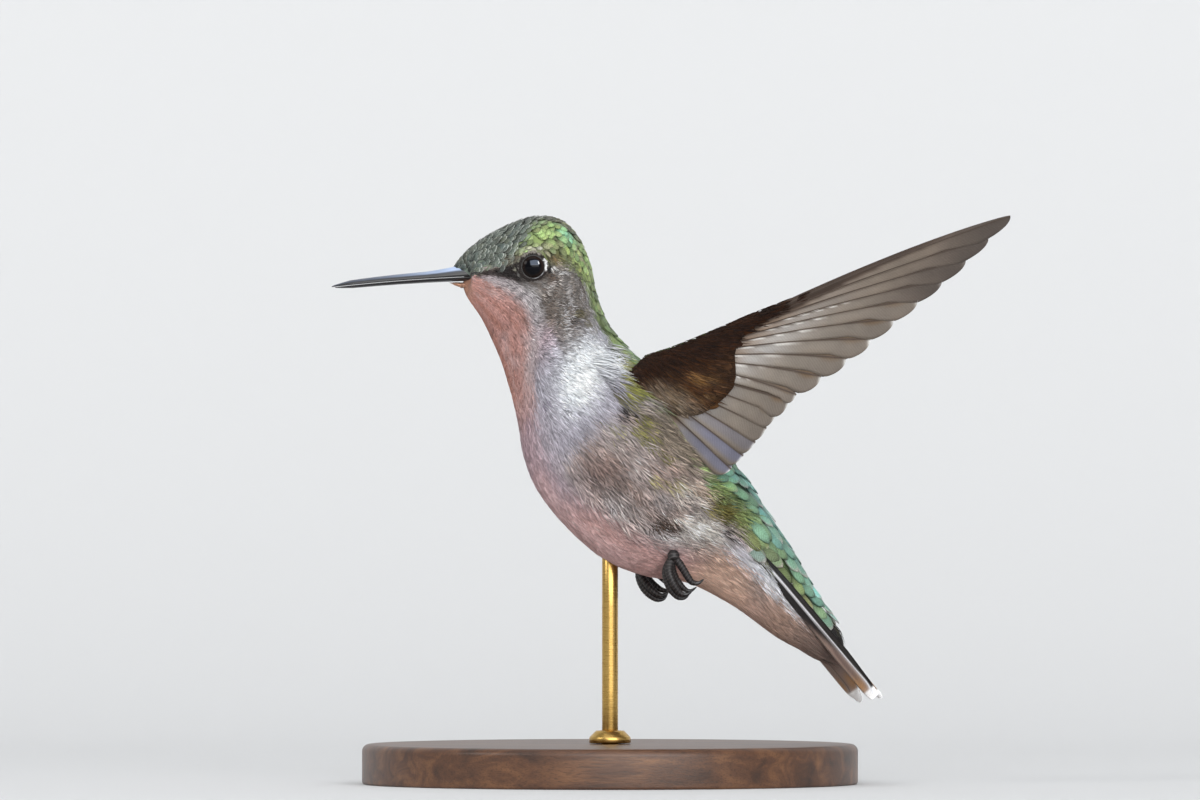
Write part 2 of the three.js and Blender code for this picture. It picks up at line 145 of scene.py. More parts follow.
def turns(count):
    """Evenly spaced angles of a whole turn, in radians."""
    return np.arange(count) / count * 2 * np.pi


def grid(rows, columns):
    """Two arrays (rows, columns) that hold each place's own row value and column value."""
    return np.meshgrid(rows, columns, indexing="ij")


print("ease(0.5) =", float(ease(0.5, 0, 1)), " linear mid grey =", linear("#808080").round(3))

# %% [markdown]
# A mesh is filled straight from arrays. Each piece is handed its points, its four-sided and
# three-sided faces, and any colours or numbers that its material reads at the points. Pieces that
# are given a map of their surface carry it as a UV map called OFBake.

# %% Make a piece from arrays
def make_piece(name, points, quads=(), triangles=(), tints=None, numbers=None, bake=None, material=None):
    """A smooth mesh from millimetre points, faces, point colours, point numbers, UVs and a material."""
    points = np.reshape(points, (-1, 3))
    quads = np.asarray(quads, np.int32).reshape(-1, 4)
    triangles = np.asarray(triangles, np.int32).reshape(-1, 3)
    corners = np.concatenate([quads.ravel(), triangles.ravel()])
    starts = np.append(np.arange(len(quads)) * 4, len(quads) * 4 + np.arange(len(triangles)) * 3)
    mesh = bpy.data.meshes.new(name)
    mesh.vertices.add(len(points))
    mesh.vertices.foreach_set("co", (points * MM).astype(np.float32).ravel())
    mesh.loops.add(len(corners))
    mesh.loops.foreach_set("vertex_index", corners)
    mesh.polygons.add(len(starts))
    mesh.polygons.foreach_set("loop_start", starts.astype(np.int32))
    mesh.update(calc_edges=True)
    mesh.polygons.foreach_set("use_smooth", np.ones(len(starts), bool))
    if tints is not None:
        rgb = linear(np.reshape(tints, (-1, 3)))
        layer = mesh.color_attributes.new("tint", "FLOAT_COLOR", "POINT")
        layer.data.foreach_set("color", np.c_[rgb, np.ones(len(points))].astype(np.float32).ravel())
    for key, values in (numbers or {}).items():
        layer = mesh.attributes.new(key, "FLOAT", "POINT")
        layer.data.foreach_set("value", np.asarray(values, np.float32).ravel())
    if bake is not None:
        layer = mesh.uv_layers.new(name="OFBake")
        layer.data.foreach_set("uv", np.asarray(bake, np.float32).reshape(-1, 2)[corners].ravel())
    mesh.validate()
    piece = bpy.data.objects.new(name, mesh)
    bpy.context.scene.collection.objects.link(piece)
    piece.data.materials.append(material)
    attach(piece, "root")
    print(f"{name}: {len(points)} points, {2 * len(quads) + len(triangles)} triangles")
    return piece


def tube_faces(rings, around, closed=False):
    """Quads between rings of points, each closed on itself; closed joins the last ring to the first."""
    i, j = grid(np.arange(rings - (not closed)), np.arange(around))
    k, i2 = (j + 1) % around, (i + 1) % rings
    return np.stack([i * around + j, i * around + k, i2 * around + k, i2 * around + j], -1).reshape(-1, 4)


def closed_tube(points):
    """A tube of rings (rings, around, 3) and its faces, shut at both ends round a middle point."""
    rings, around = points.shape[:2]
    every = np.concatenate([points.reshape(-1, 3), points[[0, -1]].mean(axis=1)])
    j = np.arange(around)
    k = (j + 1) % around
    last = (rings - 1) * around
    near = np.stack([k, j, np.full(around, rings * around)], -1)
    far = np.stack([last + j, last + k, np.full(around, rings * around + 1)], -1)
    return every, tube_faces(rings, around), np.concatenate([near, far])


def facing_out(points, quads, triangles):
    """Turns every face round if the closed shape's volume, as seen from its middle, is negative."""
    p = points - points.mean(axis=0)
    corners = np.concatenate([quads[:, [0, 1, 2]], quads[:, [0, 2, 3]], triangles])
    a, b, c = (p[corners[:, k]] for k in range(3))
    if np.einsum("ij,ij->i", a, np.cross(b, c)).sum() < 0:
        quads, triangles = quads[:, ::-1], triangles[:, ::-1]
    return points, quads, triangles


def joined(parts):
    """Several (points, quads, triangles) as one, with the face numbers moved along."""
    points, quads, triangles, first = [], [], [], 0
    for p, q, t in parts:
        points.append(p)
        quads.append(np.asarray(q).reshape(-1, 4) + first)
        triangles.append(np.asarray(t).reshape(-1, 3) + first)
        first += len(p)
    return np.concatenate(points), np.concatenate(quads), np.concatenate(triangles)

# %% [markdown]
# ## Materials
# One function adds a node. Every material is a Principled shader: what makes plumage, horn or
# walnut look like itself is the colour laid on the points, the fine relief, and the gloss.

# %% Add a node
def node(tree, kind, settings=None, links=None, **properties):
    """Adds a shader node: its properties, settings for its sockets, and links from other sockets."""
    n = tree.nodes.new("ShaderNode" + kind)
    for key, value in properties.items():
        setattr(n, key, value)
    for key, value in (settings or {}).items():
        n.inputs[key].default_value = value
    for key, source in (links or {}).items():
        source = source.outputs[0] if isinstance(source, bpy.types.Node) else source
        tree.links.new(source, n.inputs[key])
    return n


def new_material(name):
    """An empty node material and its tree."""
    material = bpy.data.materials.new(name)
    material.use_nodes = True
    material.node_tree.nodes.clear()
    return material, material.node_tree


def principled(material, settings, links):
    """Ends a material with a Principled shader and its output."""
    tree = material.node_tree
    shader = node(tree, "BsdfPrincipled", settings, links)
    node(tree, "OutputMaterial", links={"Surface": shader})
    return material


def rgba(code):
    """A hex colour as the four linear numbers that a socket holds."""
    return (*linear(code).tolist(), 1.0)


def toned(tree, value, *stops):
    """A colour ramp over a value from 0 to 1: each stop is its place and a hex colour."""
    ramp = node(tree, "ValToRGB", None, {"Fac": value})
    elements = ramp.color_ramp.elements
    for k, (place, code) in enumerate(stops):
        stop = elements[k] if k < 2 else elements.new(place)
        stop.position, stop.color = place, rgba(code)
    return ramp.outputs["Color"]

# %% [markdown]
# ### Plumage
# Feathers are keratin. Down and body feathers scatter light softly and look matt; each fine barb
# is too small to have a highlight of its own. The green feathers get their colour from thin layers
# in the barbules and shine like satin, so they are given some metal and less roughness. Colour
# comes from the points, and a fine noise makes each barb a little different. The ridges stand
# 0.22 mm apart, coarser than the barbs of a real contour feather, so that they can be seen.

# %% Plumage materials
def plumage_material(name, roughness, metal, ridges, relief, sheen=0.0, shine=0.35, apart=0.22):
    """Keratin barbs coloured from the points, with ridges that follow the number barb_mm.

    The relief is noise + 0.35 sin(2 pi barb_mm / apart + 7 noise); it also lightens and darkens the
    colour by the share ridges.
    """
    material, tree = new_material(name)
    place = node(tree, "TexCoord")
    tint = node(tree, "Attribute", attribute_name="tint")
    barb = node(tree, "Attribute", attribute_name="barb_mm")
    fine = node(tree, "TexNoise", {"Scale": 4200.0, "Detail": 2.0}, {"Vector": place.outputs["Object"]})
    noise = fine.outputs["Fac"]
    sway = node(tree, "Math", {1: 7.0}, {0: noise}, operation="MULTIPLY")
    turn = {0: barb.outputs["Fac"], 2: sway}
    phase = node(tree, "Math", {1: 2 * np.pi / apart}, turn, operation="MULTIPLY_ADD")
    wave = node(tree, "Math", None, {0: phase}, operation="SINE")
    height = node(tree, "Math", {1: 0.35}, {0: wave, 2: noise}, operation="MULTIPLY_ADD")
    low_high = {"From Min": 0.0, "From Max": 1.0, "To Min": 1 - ridges, "To Max": 1 + ridges}
    gain = node(tree, "MapRange", low_high, {"Value": height})
    colour = node(tree, "VectorMath", None, {0: tint.outputs["Color"], 1: gain}, operation="MULTIPLY")
    bump = node(tree, "Bump", {"Strength": relief, "Distance": 0.00006}, {"Height": height})
    gloss = {"Roughness": roughness, "Metallic": metal, "IOR": 1.54, "Specular IOR Level": shine}
    soft = {"Sheen Weight": sheen, "Sheen Roughness": 0.5}
    return principled(material, gloss | soft, {"Base Color": colour, "Normal": bump})


# body feathers without gloss, barbules with thin layers, and dull brown wing coverts
DOWN = plumage_material("soft_contour_feather_keratin", 0.85, 0.0, 0.13, 0.3, sheen=0.1, shine=0.25)
GREEN = plumage_material("iridescent_green_feather_keratin", 0.5, 0.08, 0.3, 0.5, shine=0.35)
COVERT = plumage_material("brown_covert_feather_keratin", 0.8, 0.0, 0.16, 0.35, sheen=0.02, shine=0.12)
print("plumage materials:", DOWN.name, GREEN.name, COVERT.name)

# %% [markdown]
# ## The shape of the body
# A bird's body is a spindle. It is described by a few sections from the bill to the tips of the
# tail coverts: the point on the underside, the point on the back, half the width, and how far the
# widest place sits towards the back. Between the sections everything flows on a smooth curve, so
# one function of two parameters, the section and the angle round it, gives any point of the coat.

# %% Body sections, in millimetres
SECTIONS = {  # underside x and z, back x and z, half width, egg
    "bill_root": (-18.4, 62.2, -19.7, 64.5, 1.3, 0),
    "chin": (-17.8, 60.7, -17.5, 67.1, 2.9, 0.05),
    "lore": (-16.1, 58.2, -14.4, 69.2, 4.6, 0.1),
    "eye": (-14.6, 55.1, -9.4, 71.1, 6.3, 0.14),
    "crown": (-13.5, 52.4, -5.2, 70.1, 6.8, 0.14),
    "occiput": (-12.7, 49.7, -2.5, 65.7, 6.6, 0.1),
    "nape": (-12.1, 47.4, -1.5, 61.1, 6.2, 0.04),
    "neck": (-11.5, 44.5, 0, 57.4, 6.4, 0),
    "collar": (-10.9, 40.9, 3.2, 53.7, 7.7, 0),
    "shoulder": (-9.4, 37, 7.2, 49.9, 8.9, 0),
    "chest": (-6, 32.5, 11.6, 44.9, 9.4, -0.04),
    "belly": (-0.8, 28, 15.2, 40.8, 8.8, -0.05),
    "flank": (4.4, 25.9, 17.5, 37.8, 7.5, -0.04),
    "vent": (9.8, 25, 19.8, 34.1, 5.9, 0),
    "tail_root": (15.6, 22, 22.8, 29.2, 4.1, 0),
    "coverts": (20.6, 18.4, 25.9, 23.8, 3.1, 0),
    "covert_tips": (24.3, 16.5, 28.7, 19.7, 2.4, 0),
}
NAMES = list(SECTIONS)
TABLE = np.array(list(SECTIONS.values()), float)
LAST = len(NAMES) - 1  # the number of the last section, where the tail begins
TAILWARDS = np.array([3.0, 0.0, -3.57])  # one section further, beyond the last
TWIST = np.radians(20)  # the tail is turned about its own axis by this much
EYE = np.array([-9.6, 64.6])  # x and z of both eyes
EYE_OUT, EYE_RADIUS = 4.75, 2.0  # the eyeball's middle, from the middle plane, and its radius
LID_OUT, LID_RADIUS = 6.19, 1.38  # the same for the rim of the lid
print("sections:", len(NAMES), "from", NAMES[0], "to", NAMES[-1])

# %% [markdown]
# Round the eye the plumage parts. A point that would lie over the eyeball is moved straight away
# from its centre until it clears the lid, and the points behind it are moved less and less. Near the
# lid the surface is also drawn to one level, so that the rim of the lid is a true circle.

# %% Any point of the body
def coat(station, angle, grow=0.0):
    """A point of the coat's outline: angle 0 is the back, a quarter turn is the bird's right.

    middle + up (half depth + grow) cos(angle) + side (half width + grow) sin(angle) (1 + egg cos(angle))
    Beyond the last section the outline runs on along the tail and shrinks towards it. At the bill the
    sides start 1.7 mm further back than forehead and chin.
    """
    row = through(TABLE, station)
    beyond = np.maximum(np.asarray(station, float) - LAST, 0)[..., None]
    zero = np.zeros_like(row[..., 0])  # under and back lie in the middle plane
    under = np.stack([row[..., 0], zero, row[..., 1]], -1)
    back = np.stack([row[..., 2], zero, row[..., 3]], -1)
    depth = np.linalg.norm(back - under, axis=-1)
    rise = (back - under) / depth[..., None]
    twist = TWIST * ease(station, NAMES.index("shoulder"), NAMES.index("tail_root"))[..., None]
    right = np.array([0.0, 1.0, 0.0])
    up = rise * np.cos(twist) + right * np.sin(twist)
    side = right * np.cos(twist) - rise * np.sin(twist)
    shrink = 1 - 0.75 * ease(beyond[..., 0], 0, 1.1)
    high = (depth / 2 * shrink + grow) * np.cos(angle)
    wide = (row[..., 4] * (0.5 + 0.5 * shrink) + grow) * np.sin(angle) * (1 + row[..., 5] * np.cos(angle))
    notch = 1.7 * np.sin(angle) ** 2 * (1 - ease(station, 0, 1.5))  # the V that the bill enters
    onward = beyond * TAILWARDS + notch[..., None] * np.array([1.0, 0, 0])
    return (under + back) / 2 + onward + up * high[..., None] + side * wide[..., None]


def coat_depth(station):
    """How far the skin lies inside the coat: thinnest on the face, thickest on the belly."""
    depths = [0.12, 0.25, 0.38, 0.5, 0.7, 0.95, 0.8, 0.35]
    return np.interp(station, [0, 1, 3, 5, 7, 10, 13, LAST], depths)


def on_skin(station, angle, lift=0.0):
    """The point lift millimetres above the skin, with the plumage parted round each eye.

    A point at distance r from the eye's centre moves out to the root of r^2 + w lid^2, where w falls
    from 1 at the centre to 0 at 4 mm, and within 3.4 mm of it the surface eases to the lid's level.
    """
    p = coat(station, angle, lift - coat_depth(station))
    away = p[..., [0, 2]] - EYE
    r = np.maximum(np.linalg.norm(away, axis=-1), 1e-6)
    face = (np.abs(p[..., 1]) > 2.5) & (np.asarray(station) < 6)
    w = np.where(face, 1 - ease(r, 0.6, 4.0), 0)
    moved = np.sqrt(r * r + w * (LID_RADIUS + 0.08) ** 2)
    spot = EYE + away * (moved / r)[..., None]
    level = LID_OUT - 0.1 + 0.7 * lift
    near = np.where(face, 1 - ease(moved, LID_RADIUS, LID_RADIUS + 1.7), 0)
    y = np.sign(p[..., 1]) * (np.abs(p[..., 1]) * (1 - near) + level * near)
    return np.stack([spot[..., 0], y, spot[..., 1]], -1)


print("a point of the breast:", coat(np.array(9.0), np.array(np.pi)).round(2))

# %% [markdown]
# ## The colours of the plumage
# Skin and feathers share one colour function, so that no pale skin shows between green feathers.
# It paints in layers, like a painter: a ground colour, then soft-edged areas given by section and
# angle, then small marks on the face. The throat is salmon, the cheek grey-brown with fine streaks,
# the side of the neck white, the flank greyish with warm patches, the crown dusky in front and green
# behind, and the back and rump green to turquoise.

# %% Colour of any point of the plumage
# sections, and the angle from the back at which the green ends and the throat begins
GREEN_EDGE = ([0, 1, 2, 3, 3.5, 4, 4.5, 5, 5.5, 6, 7, 7.5, 7.9, 8.4, 8.8, 9.5, 10, 11, 12, 13, 14, 15, 16],
              [95, 89, 82, 73, 67, 61, 50, 38, 32, 30, 27, 34, 47, 52, 42, 34, 42, 62, 78, 86, 88, 72, 34])
THROAT_EDGE = ([0, 1, 2.5, 3.8, 4.5, 5, 6.5, 8], [99, 99, 100, 103, 107, 113, 128, 145])


def within(x, low, high, soft):
    """1 between low and high, easing to 0 over twice soft at each end."""
    return ease(x, low - soft, low + soft) * (1 - ease(x, high - soft, high + soft))


def spot(x, y, cx, cy, rx, ry):
    """A soft round mark: exp of minus the squared distance in units of its two half sizes."""
    return np.exp(-(((x - cx) / rx) ** 2) - ((y - cy) / ry) ** 2)


def marks(x, y, *rows):
    """The sum of soft round marks, with strength, middle and two half sizes in each row."""
    return sum(strength * spot(x, y, *row) for strength, *row in rows)


def angle_from_back(angle):
    """Degrees from the middle of the back, the same on both sides: 180 is the breast."""
    return np.degrees(np.arccos(np.clip(np.cos(angle), -1, 1)))


EYE_MARKS = (  # colour, x and z from the eye's centre, half sizes
    ("#E9E9EA", 2.7, -0.35, 0.55, 0.22), ("#DEDEE0", 3.9, -0.75, 0.6, 0.2),
    ("#E2DEDC", 2.1, -2.45, 0.75, 0.14), ("#D8D4CC", -1.8, -0.05, 0.2, 0.24),
    ("#C9CBB8", -2.3, -0.35, 0.22, 0.2), ("#8F8E8B", -1.85, -1.0, 0.25, 0.2),
    ("#B9B4B0", -1.2, -1.6, 0.3, 0.13),
)
SPANGLES = (  # section, angle and strength
    (8.02, 50, 1), (8.41, 59, 1), (8.93, 80, 0.8), (9.27, 69, 1), (9.56, 65, 1),
    (9.08, 61, 1), (9.99, 67, 0.9), (10.21, 85, 0.7), (10.49, 78, 0.6),
)
FLECKS = ((7.1, 135), (6.95, 147), (8.35, 60), (7.0, 120))  # section and angle


def plumage(station, angle, p):
    """sRGB of the plumage at a section and an angle, for the point p of the surface."""
    s, a = np.asarray(station, float), angle_from_back(angle)
    x, z = p[..., 0], p[..., 2]
    drawn = np.stack([s * 0.5, a / 5.0, np.sign(p[..., 1])], -1)  # long cells that lie along the body
    streak, thin = mottle(drawn, 1.0, 5), mottle(drawn * [1.6, 2.4, 1], 1.0, 6)
    fine, broad, patch = mottle(p, 0.7, 1), mottle(p, 2.6, 2), mottle(p, 1.7, 3)

    flank = within(a, 50, 128, 9) * within(s, 8.7, 12.6, 0.4)
    white = marks(s, a, (0.97, 6.8, 74, 0.9, 32), (0.68, 7.4, 88, 0.52, 20), (0.6, 7.35, 48, 0.5, 12))
    cream = marks(s, a, (0.95, 11.7, 96, 0.5, 13), (0.5, 12.4, 104, 0.5, 10), (0.7, 10.85, 78, 0.3, 7))
    dark_spot = ease(spot(s + 0.05 * thin, a + 2 * fine, 11.1, 107, 0.27, 7), 0.15, 0.7)
    tint = painted(
        flat("#C2A8AF", *s.shape),
        # neck, breast, flank and belly
        ("#A6A2AD", within(a, 0, 132, 12) * within(s, 5.4, 9.6, 0.8)),
        ("#F6FBFF", white),
        ("#B3ABB4", marks(s, a, (0.6, 8.0, 128, 1.1, 14), (0.5, 9.2, 150, 0.3, 14))),
        ("#BFB2AD", 0.9 * flank),
        ("#A9938A", flank * ease(patch + 0.5 * streak, 0.05, 0.6) * 0.85),
        ("#D2CFD2", flank * ease(-patch + 0.4 * thin, 0.15, 0.8) * 0.7),
        ("#93807F", marks(s, a, (0.6, 9.25, 113, 0.45, 13))),
        ("#92766C", marks(s, a, (0.6, 9.35, 104, 0.4, 12), (0.15, 10.4, 101, 0.4, 8))),
        ("#8F826E", 0.8 * within(s, 8.7, 10.6, 0.3) * within(a, 34, 62, 7)),
        ("#DFB5AE", 0.85 * ease(a, 118, 140) * within(s, 9.6, 13.0, 0.6)),
        # partly painted light: paler pink on the downward-facing side of breast and belly lifts the shade
        # there; the belly's own pink is there too
        ("#F2CECD", 0.7 * ease(a, 136, 155) * within(s, 8.4, 11.2, 0.5)),
        ("#FFFAF0", cream),
        ("#C9A988", marks(s, a, (0.6, 11.3, 68, 0.8, 6))),
        ("#3A2A20", 0.85 * dark_spot),
        ("#E0BDA9", within(a, 112, 190, 8) * within(s, 12.4, 14.0, 0.5)),
        # under the tail
        ("#BD9D8C", within(a, 100, 190, 8) * ease(s, 13.2, 14.4)),
        ("#F4F6FF", 0.97 * within(a, 88, 112, 6) * within(s, 12.7, 15.0, 0.5)),
        ("#8C817E", marks(s, a, (0.55, 13.7, 126, 0.35, 9))),
        ("#75625A", 0.9 * ease(s, 14.2, 15.7) * ease(a, 95, 120)),
    )

    cheek = ease(a, 20, 30) * (1 - ease(a + 3 * broad + 12 * ease(s, 4.6, 5.6), 90, 106))
    cheek = cheek * (1 - ease(s, 5.5, 6.6)) * ease(s, 2.4, 3.2)
    border = np.interp(s, *THROAT_EDGE)
    throat = ease(a + 4 * broad, border - 6, border + 6) * (1 - ease(s + 0.5 * streak, 5.2, 7.4))
    pale = 0.45 * throat * ease(patch + 0.5 * streak, 0.05, 0.6) * within(s, 3.0, 7.0, 0.6)
    pale_streak = 0.3 + 0.55 * np.maximum(ease(s, 4.5, 5.4), ease(a, 84, 94))
    tint = painted(
        tint,
        ("#C2BBC1", within(a, 90, 140, 8) * within(s, 1.6, 4.7, 0.4)),
        ("#7E7771", cheek),
        ("#BEBCBF", cheek * ease(thin, 0.0, 0.5) * pale_streak),
        ("#4A3C33", cheek * ease(-thin, 0.05, 0.55) * (0.45 + 0.5 * spot(s, a, 4.3, 74, 0.55, 12))),
        ("#C9C6C4", 0.7 * spot(x, z, -10.2, 61.8, 1.6, 0.5) * (s < 5)),
        ("#C4958C", throat),
        ("#AC7565", throat * ease(streak, 0.0, 0.7) * 0.6 * (1 - ease(s, 4.8, 6.5))),
        ("#CFB4B1", throat * ease(-streak + 0.4 * thin, 0.05, 0.7) * 0.65),
        ("#C9B6B9", pale * (1 - ease(a, 142, 158))),
        ("#BE8676", throat * ease(a, 152, 172) * 0.75 * (1 - ease(s, 4.5, 6.5))),
        ("#B3ABAD", 0.9 * spot(a, s, border - 5, 2.8, 9, 1.4) * ease(s, 1.0, 2.0)),
        ("#C1BBC0", 0.8 * spot(a, s, border + 6, 5.0, 12, 0.8)),
        ("#AE8069", (1 - ease(s, 0.3, 1.5)) * ease(a, 104, 125)),
    )

    # green of nape, back and rump, then crown and forehead
    edge = np.interp(s, *GREEN_EDGE)
    green = 1 - ease(a + 4 * fine, edge - 4, edge + 4)
    crown = green * (1 - ease(s, 5.0, 5.8))
    fore = green * (1 - ease(s + 0.35 * fine + a / 130, 2.85, 3.5))
    dark = spot(s + 0.2 * patch, a + 6 * fine, 4.4, 48, 0.5, 8) + spot(s, a, 3.9, 59, 0.3, 6)
    tint = painted(
        tint,
        ("#809C6D", green),
        ("#86ADA1", green * (1 - ease(a, 14, 44)) * ease(s, 9.5, 11.5) * 0.9),
        ("#9DA662", green * ease(a, edge - 34, edge - 6) * 0.65),
        ("#68724F", green * ease(patch, 0.1, 0.7) * 0.5),
        ("#6F6A47", green * ease(a, edge - 12, edge) * 0.7 * ease(s, 10.5, 12.5)),
        ("#5C6A4C", 0.6 * green * within(s, 4.9, 7.2, 0.3)),
        # partly painted light: the rump's own green made brighter just under the wing's inner end, where
        # the wing's shadow falls
        ("#95C777", 0.75 * green * spot(s, a, 11.1, 45, 0.6, 13)),
        ("#D3C4C2", 0.8 * green * spot(s, a, 13.25, 45, 0.25, 7)),
        ("#1D191A", 0.95 * ease(s, 14.9, 15.3) * within(a, edge, 100, 5)),
        ("#9DB26E", crown * 0.8),
        ("#7F7864", crown * ease(patch + 0.4 * fine, 0.1, 0.55) * 0.75),
        # painted highlight: a turquoise gleam of the iridescent crown, fixed in the colour
        ("#8FCBA8", 0.85 * crown * ease(spot(s + 0.1 * fine, a, 3.91, 25, 0.35, 14), 0.15, 0.8)),
        ("#76817C", fore * 0.95),
        ("#8B9A82", fore * ease(fine, 0.0, 0.7) * 0.7),
        ("#58544C", 0.9 * green * (1 - ease(a, 12, 26)) * (1 - ease(s, 4.0, 4.7))),
        ("#4F4C38", 0.85 * green * np.clip(dark, 0, 1)),
    )

    # face: brow, the spots over and behind the eye, dark lore, and the marks round the eye
    brow = within(x, -13.9, -10.6, 0.6) * within(z, 64.3, 66.3, 0.35) * within(a, 55, 92, 5)
    lore_z = np.interp(x, [-17, -15.7, -14, -12.5, -11.3], [63.5, 63.9, 63.95, 64.0, 64.0])
    lore_half = np.interp(x, [-16.8, -15.7, -14, -12.5, -11.3], [0.15, 0.22, 0.45, 0.8, 1.15])
    lore = (1 - ease(np.abs(z - lore_z), lore_half - 0.1, lore_half + 0.25)) * within(x, -16.8, -9.9, 0.2)
    from_eye = np.hypot(x - EYE[0], z - EYE[1])
    turn = np.degrees(np.arctan2(z - EYE[1], x - EYE[0]))  # 0 behind the eye, 90 above it
    rim = 0.85 * within(from_eye, 1.2, 1.75, 0.12) * (1 - within(turn, -110, 120, 12))
    head = s < 5.5
    rear_corner = ease(spot(x, z, EYE[0] + 2.12, EYE[1] - 0.3, 0.32, 0.55), 0.35, 0.6)
    ear = [ease(spot(x, z, *row), 0.3, 0.7) for row in ((-3.75, 58.8, 0.75, 0.65), (-2.7, 57.4, 0.5, 0.45))]
    tint = painted(
        tint,
        ("#7D776A", 0.85 * brow),
        ("#5F5648", brow * ease(fine, 0.1, 0.6) * 0.6),
        ("#C3BDB2", marks(x, z, (0.9, -9.7, 66.85, 1.5, 0.42))),
        ("#6E5138", marks(x, z, (0.8, -6.9, 65.6, 0.8, 0.55))),
        ("#1F1614", lore * (np.abs(p[..., 1]) > 1.5) * (s < 4)),
        ("#2A211E", rim * head),
        ("#100D0D", 0.97 * rear_corner * head),
        *(
            (code, 0.95 * ease(spot(x, z, EYE[0] + cx, EYE[1] + cz, rx, rz), 0.25, 0.6) * head)
            for code, cx, cz, rx, rz in EYE_MARKS
        ),
        ("#5B5330", 0.9 * ear[0] * (s > 4) + 0.7 * ear[1] * (s > 4)),
        ("#E9F0F2", ease(spot(x, z, -19.5, 65.0, 0.35, 0.3), 0.3, 0.7)),
    )

    # yellow-green spangles before the wing, dark flecks on the breast, golden and dark edge of the rump
    loose = s + 0.04 * thin, a + 2 * fine  # breaks up the spangles' edges
    start, end = np.interp(s, [7.5, 8.6], [28, 46]), np.interp(s, [7.5, 8.6], [44, 62])
    shawl = within(s, 7.55, 8.6, 0.15) * within(a, start, end, 4)
    before_wing = ease(spot(s + 0.06 * thin, a, 8.7, 68, 0.22, 5), 0.2, 0.7)
    under_rump = ease(spot(s, a, 12.47, 89, 0.18, 4) + spot(s, a, 13.3, 90, 0.45, 2.4), 0.25, 0.7)
    tint = painted(
        tint,
        *(
            ("#A3A14E", 0.75 * share * ease(spot(*loose, cs, ca, 0.15, 4.2), 0.25, 0.65))
            for cs, ca, share in SPANGLES
        ),
        ("#9F9E48", 0.8 * ease(shawl, 0.2, 0.7)),
        ("#746C38", 0.92 * ease(spot(s + 0.1 * thin, a, 11.85, 76, 0.52, 9), 0.2, 0.7)),
        *(("#5F5566", 0.7 * spot(s, a, cs, ca, 0.09, 2.6)) for cs, ca in FLECKS),
        ("#2A2422", 0.9 * before_wing + 0.95 * under_rump),
    )
    return np.clip(tint * (1 + 0.05 * fine + 0.04 * broad)[..., None], 0, 1)


throat = np.array(4.0), np.array(2.8)
print("colour of the throat:", plumage(*throat, coat(*throat)).round(2))

# %% [markdown]
# ## The skin
# One closed skin runs from the bill to the tips of the tail coverts and stands for all the solids
# of flesh, so that no seam shows. It lies inside the outline by the depth of the coat.

# %% Skin
LAST_SKIN = 15.9  # the section where the skin and the last roots end


def body_skin(rings=230, around=144):
    """Rings of the skin function, closed at bill and tail, a little darker than the coat over it."""
    s, a = grid(np.linspace(0, LAST_SKIN, rings), turns(around))
    points, quads, caps = closed_tube(on_skin(s, a))
    s = np.append(s, [0, LAST_SKIN])
    a = np.append(a, [np.pi, np.pi])
    tints = plumage(s, a, points) * 0.88
    bake = np.stack([a / (2 * np.pi), s / LAST], -1)
    skin = make_piece("plumage_skin", *facing_out(points, quads, caps), tints, bake=bake, material=DOWN)
    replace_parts(skin, "head", "neck", "breast", "belly", "rump")


body_skin()

# %% [markdown]
# ## Laying feathers
# Feathers grow in rows, each row covering the roots of the next, like tiles set in brick order.
# Roots are laid in rows at equal steps along the body, and each is kept with a chance equal to its
# share of the skin, so that crowded places don't get more than open ones.

# %% Roots in brick order
def body_scale(station, angle):
    """Millimetres of coat to one section, and to one radian, by small steps both ways."""
    e = 0.02
    along = np.linalg.norm(coat(station + e, angle) - coat(station - e, angle), axis=-1)
    girth = np.linalg.norm(coat(station, angle + e) - coat(station, angle - e), axis=-1)
    return along / (2 * e), girth / (2 * e)


def brick_roots(step, width, low, high, jitter):
    """Sections and angles of roots, step mm apart along the body and width mm apart round it."""
    line = np.linspace(low, high, 700)
    sides = (0.01, 1.2, 2.2, 3.13)  # the rows are spaced by the side on which the body is longest
    spans = [np.linalg.norm(np.diff(coat(line, np.full(700, a)), axis=0), axis=1) for a in sides]
    walked = np.concatenate([[0], np.cumsum(np.max(spans, axis=0))])
    rows = np.interp(np.arange(0, walked[-1], step), walked, line)
    ring = np.linspace(0, 2 * np.pi, 73)
    girth = np.linalg.norm(np.diff(coat(rows[:, None], ring[None]), axis=1), axis=-1).sum(axis=1)
    count = np.maximum((girth / width).astype(int), 3)
    row = np.repeat(np.arange(len(rows)), count)
    place = np.arange(count.sum()) - np.repeat(np.cumsum(count) - count, count)
    stir = chance.uniform(-jitter, jitter, len(row))
    angle = np.mod((place + 0.5 * (row % 2) + stir) / count[row] * 2 * np.pi, 2 * np.pi)
    station = np.clip(rows[row] + chance.uniform(-jitter, jitter, len(row)) * step / 3.5, low, high)
    spacing = np.gradient(rows)[row] * body_scale(station, angle)[0]
    keep = chance.random(len(row)) < spacing / step
    return station[keep], angle[keep]


# %% [markdown]
# A feather is drawn in its own small chart: along the shaft, across it, and lifted off the skin. The
# chart is carried onto the body by the scale at the root, so feathers bend with the body. Heading
# turns a feather from straight back towards the belly.

# %% Carry feathers onto the body
def on_body(station, angle, heading, along, across, lift):
    """Points of feather charts (feathers, points) on the body, with their own root and heading."""
    length, girth = body_scale(station, angle)
    sense = np.where(angle < np.pi, 1.0, -1.0)[:, None]
    c, s = np.cos(heading)[:, None], np.sin(heading)[:, None]
    ds = (along * c - across * s) / length[:, None]
    da = (along * s + across * c) / np.maximum(girth, 0.6)[:, None]
    return on_skin(station[:, None] + ds, angle[:, None] + sense * da, lift)


PATCH = 0.003  # the size of one feather in the export's map


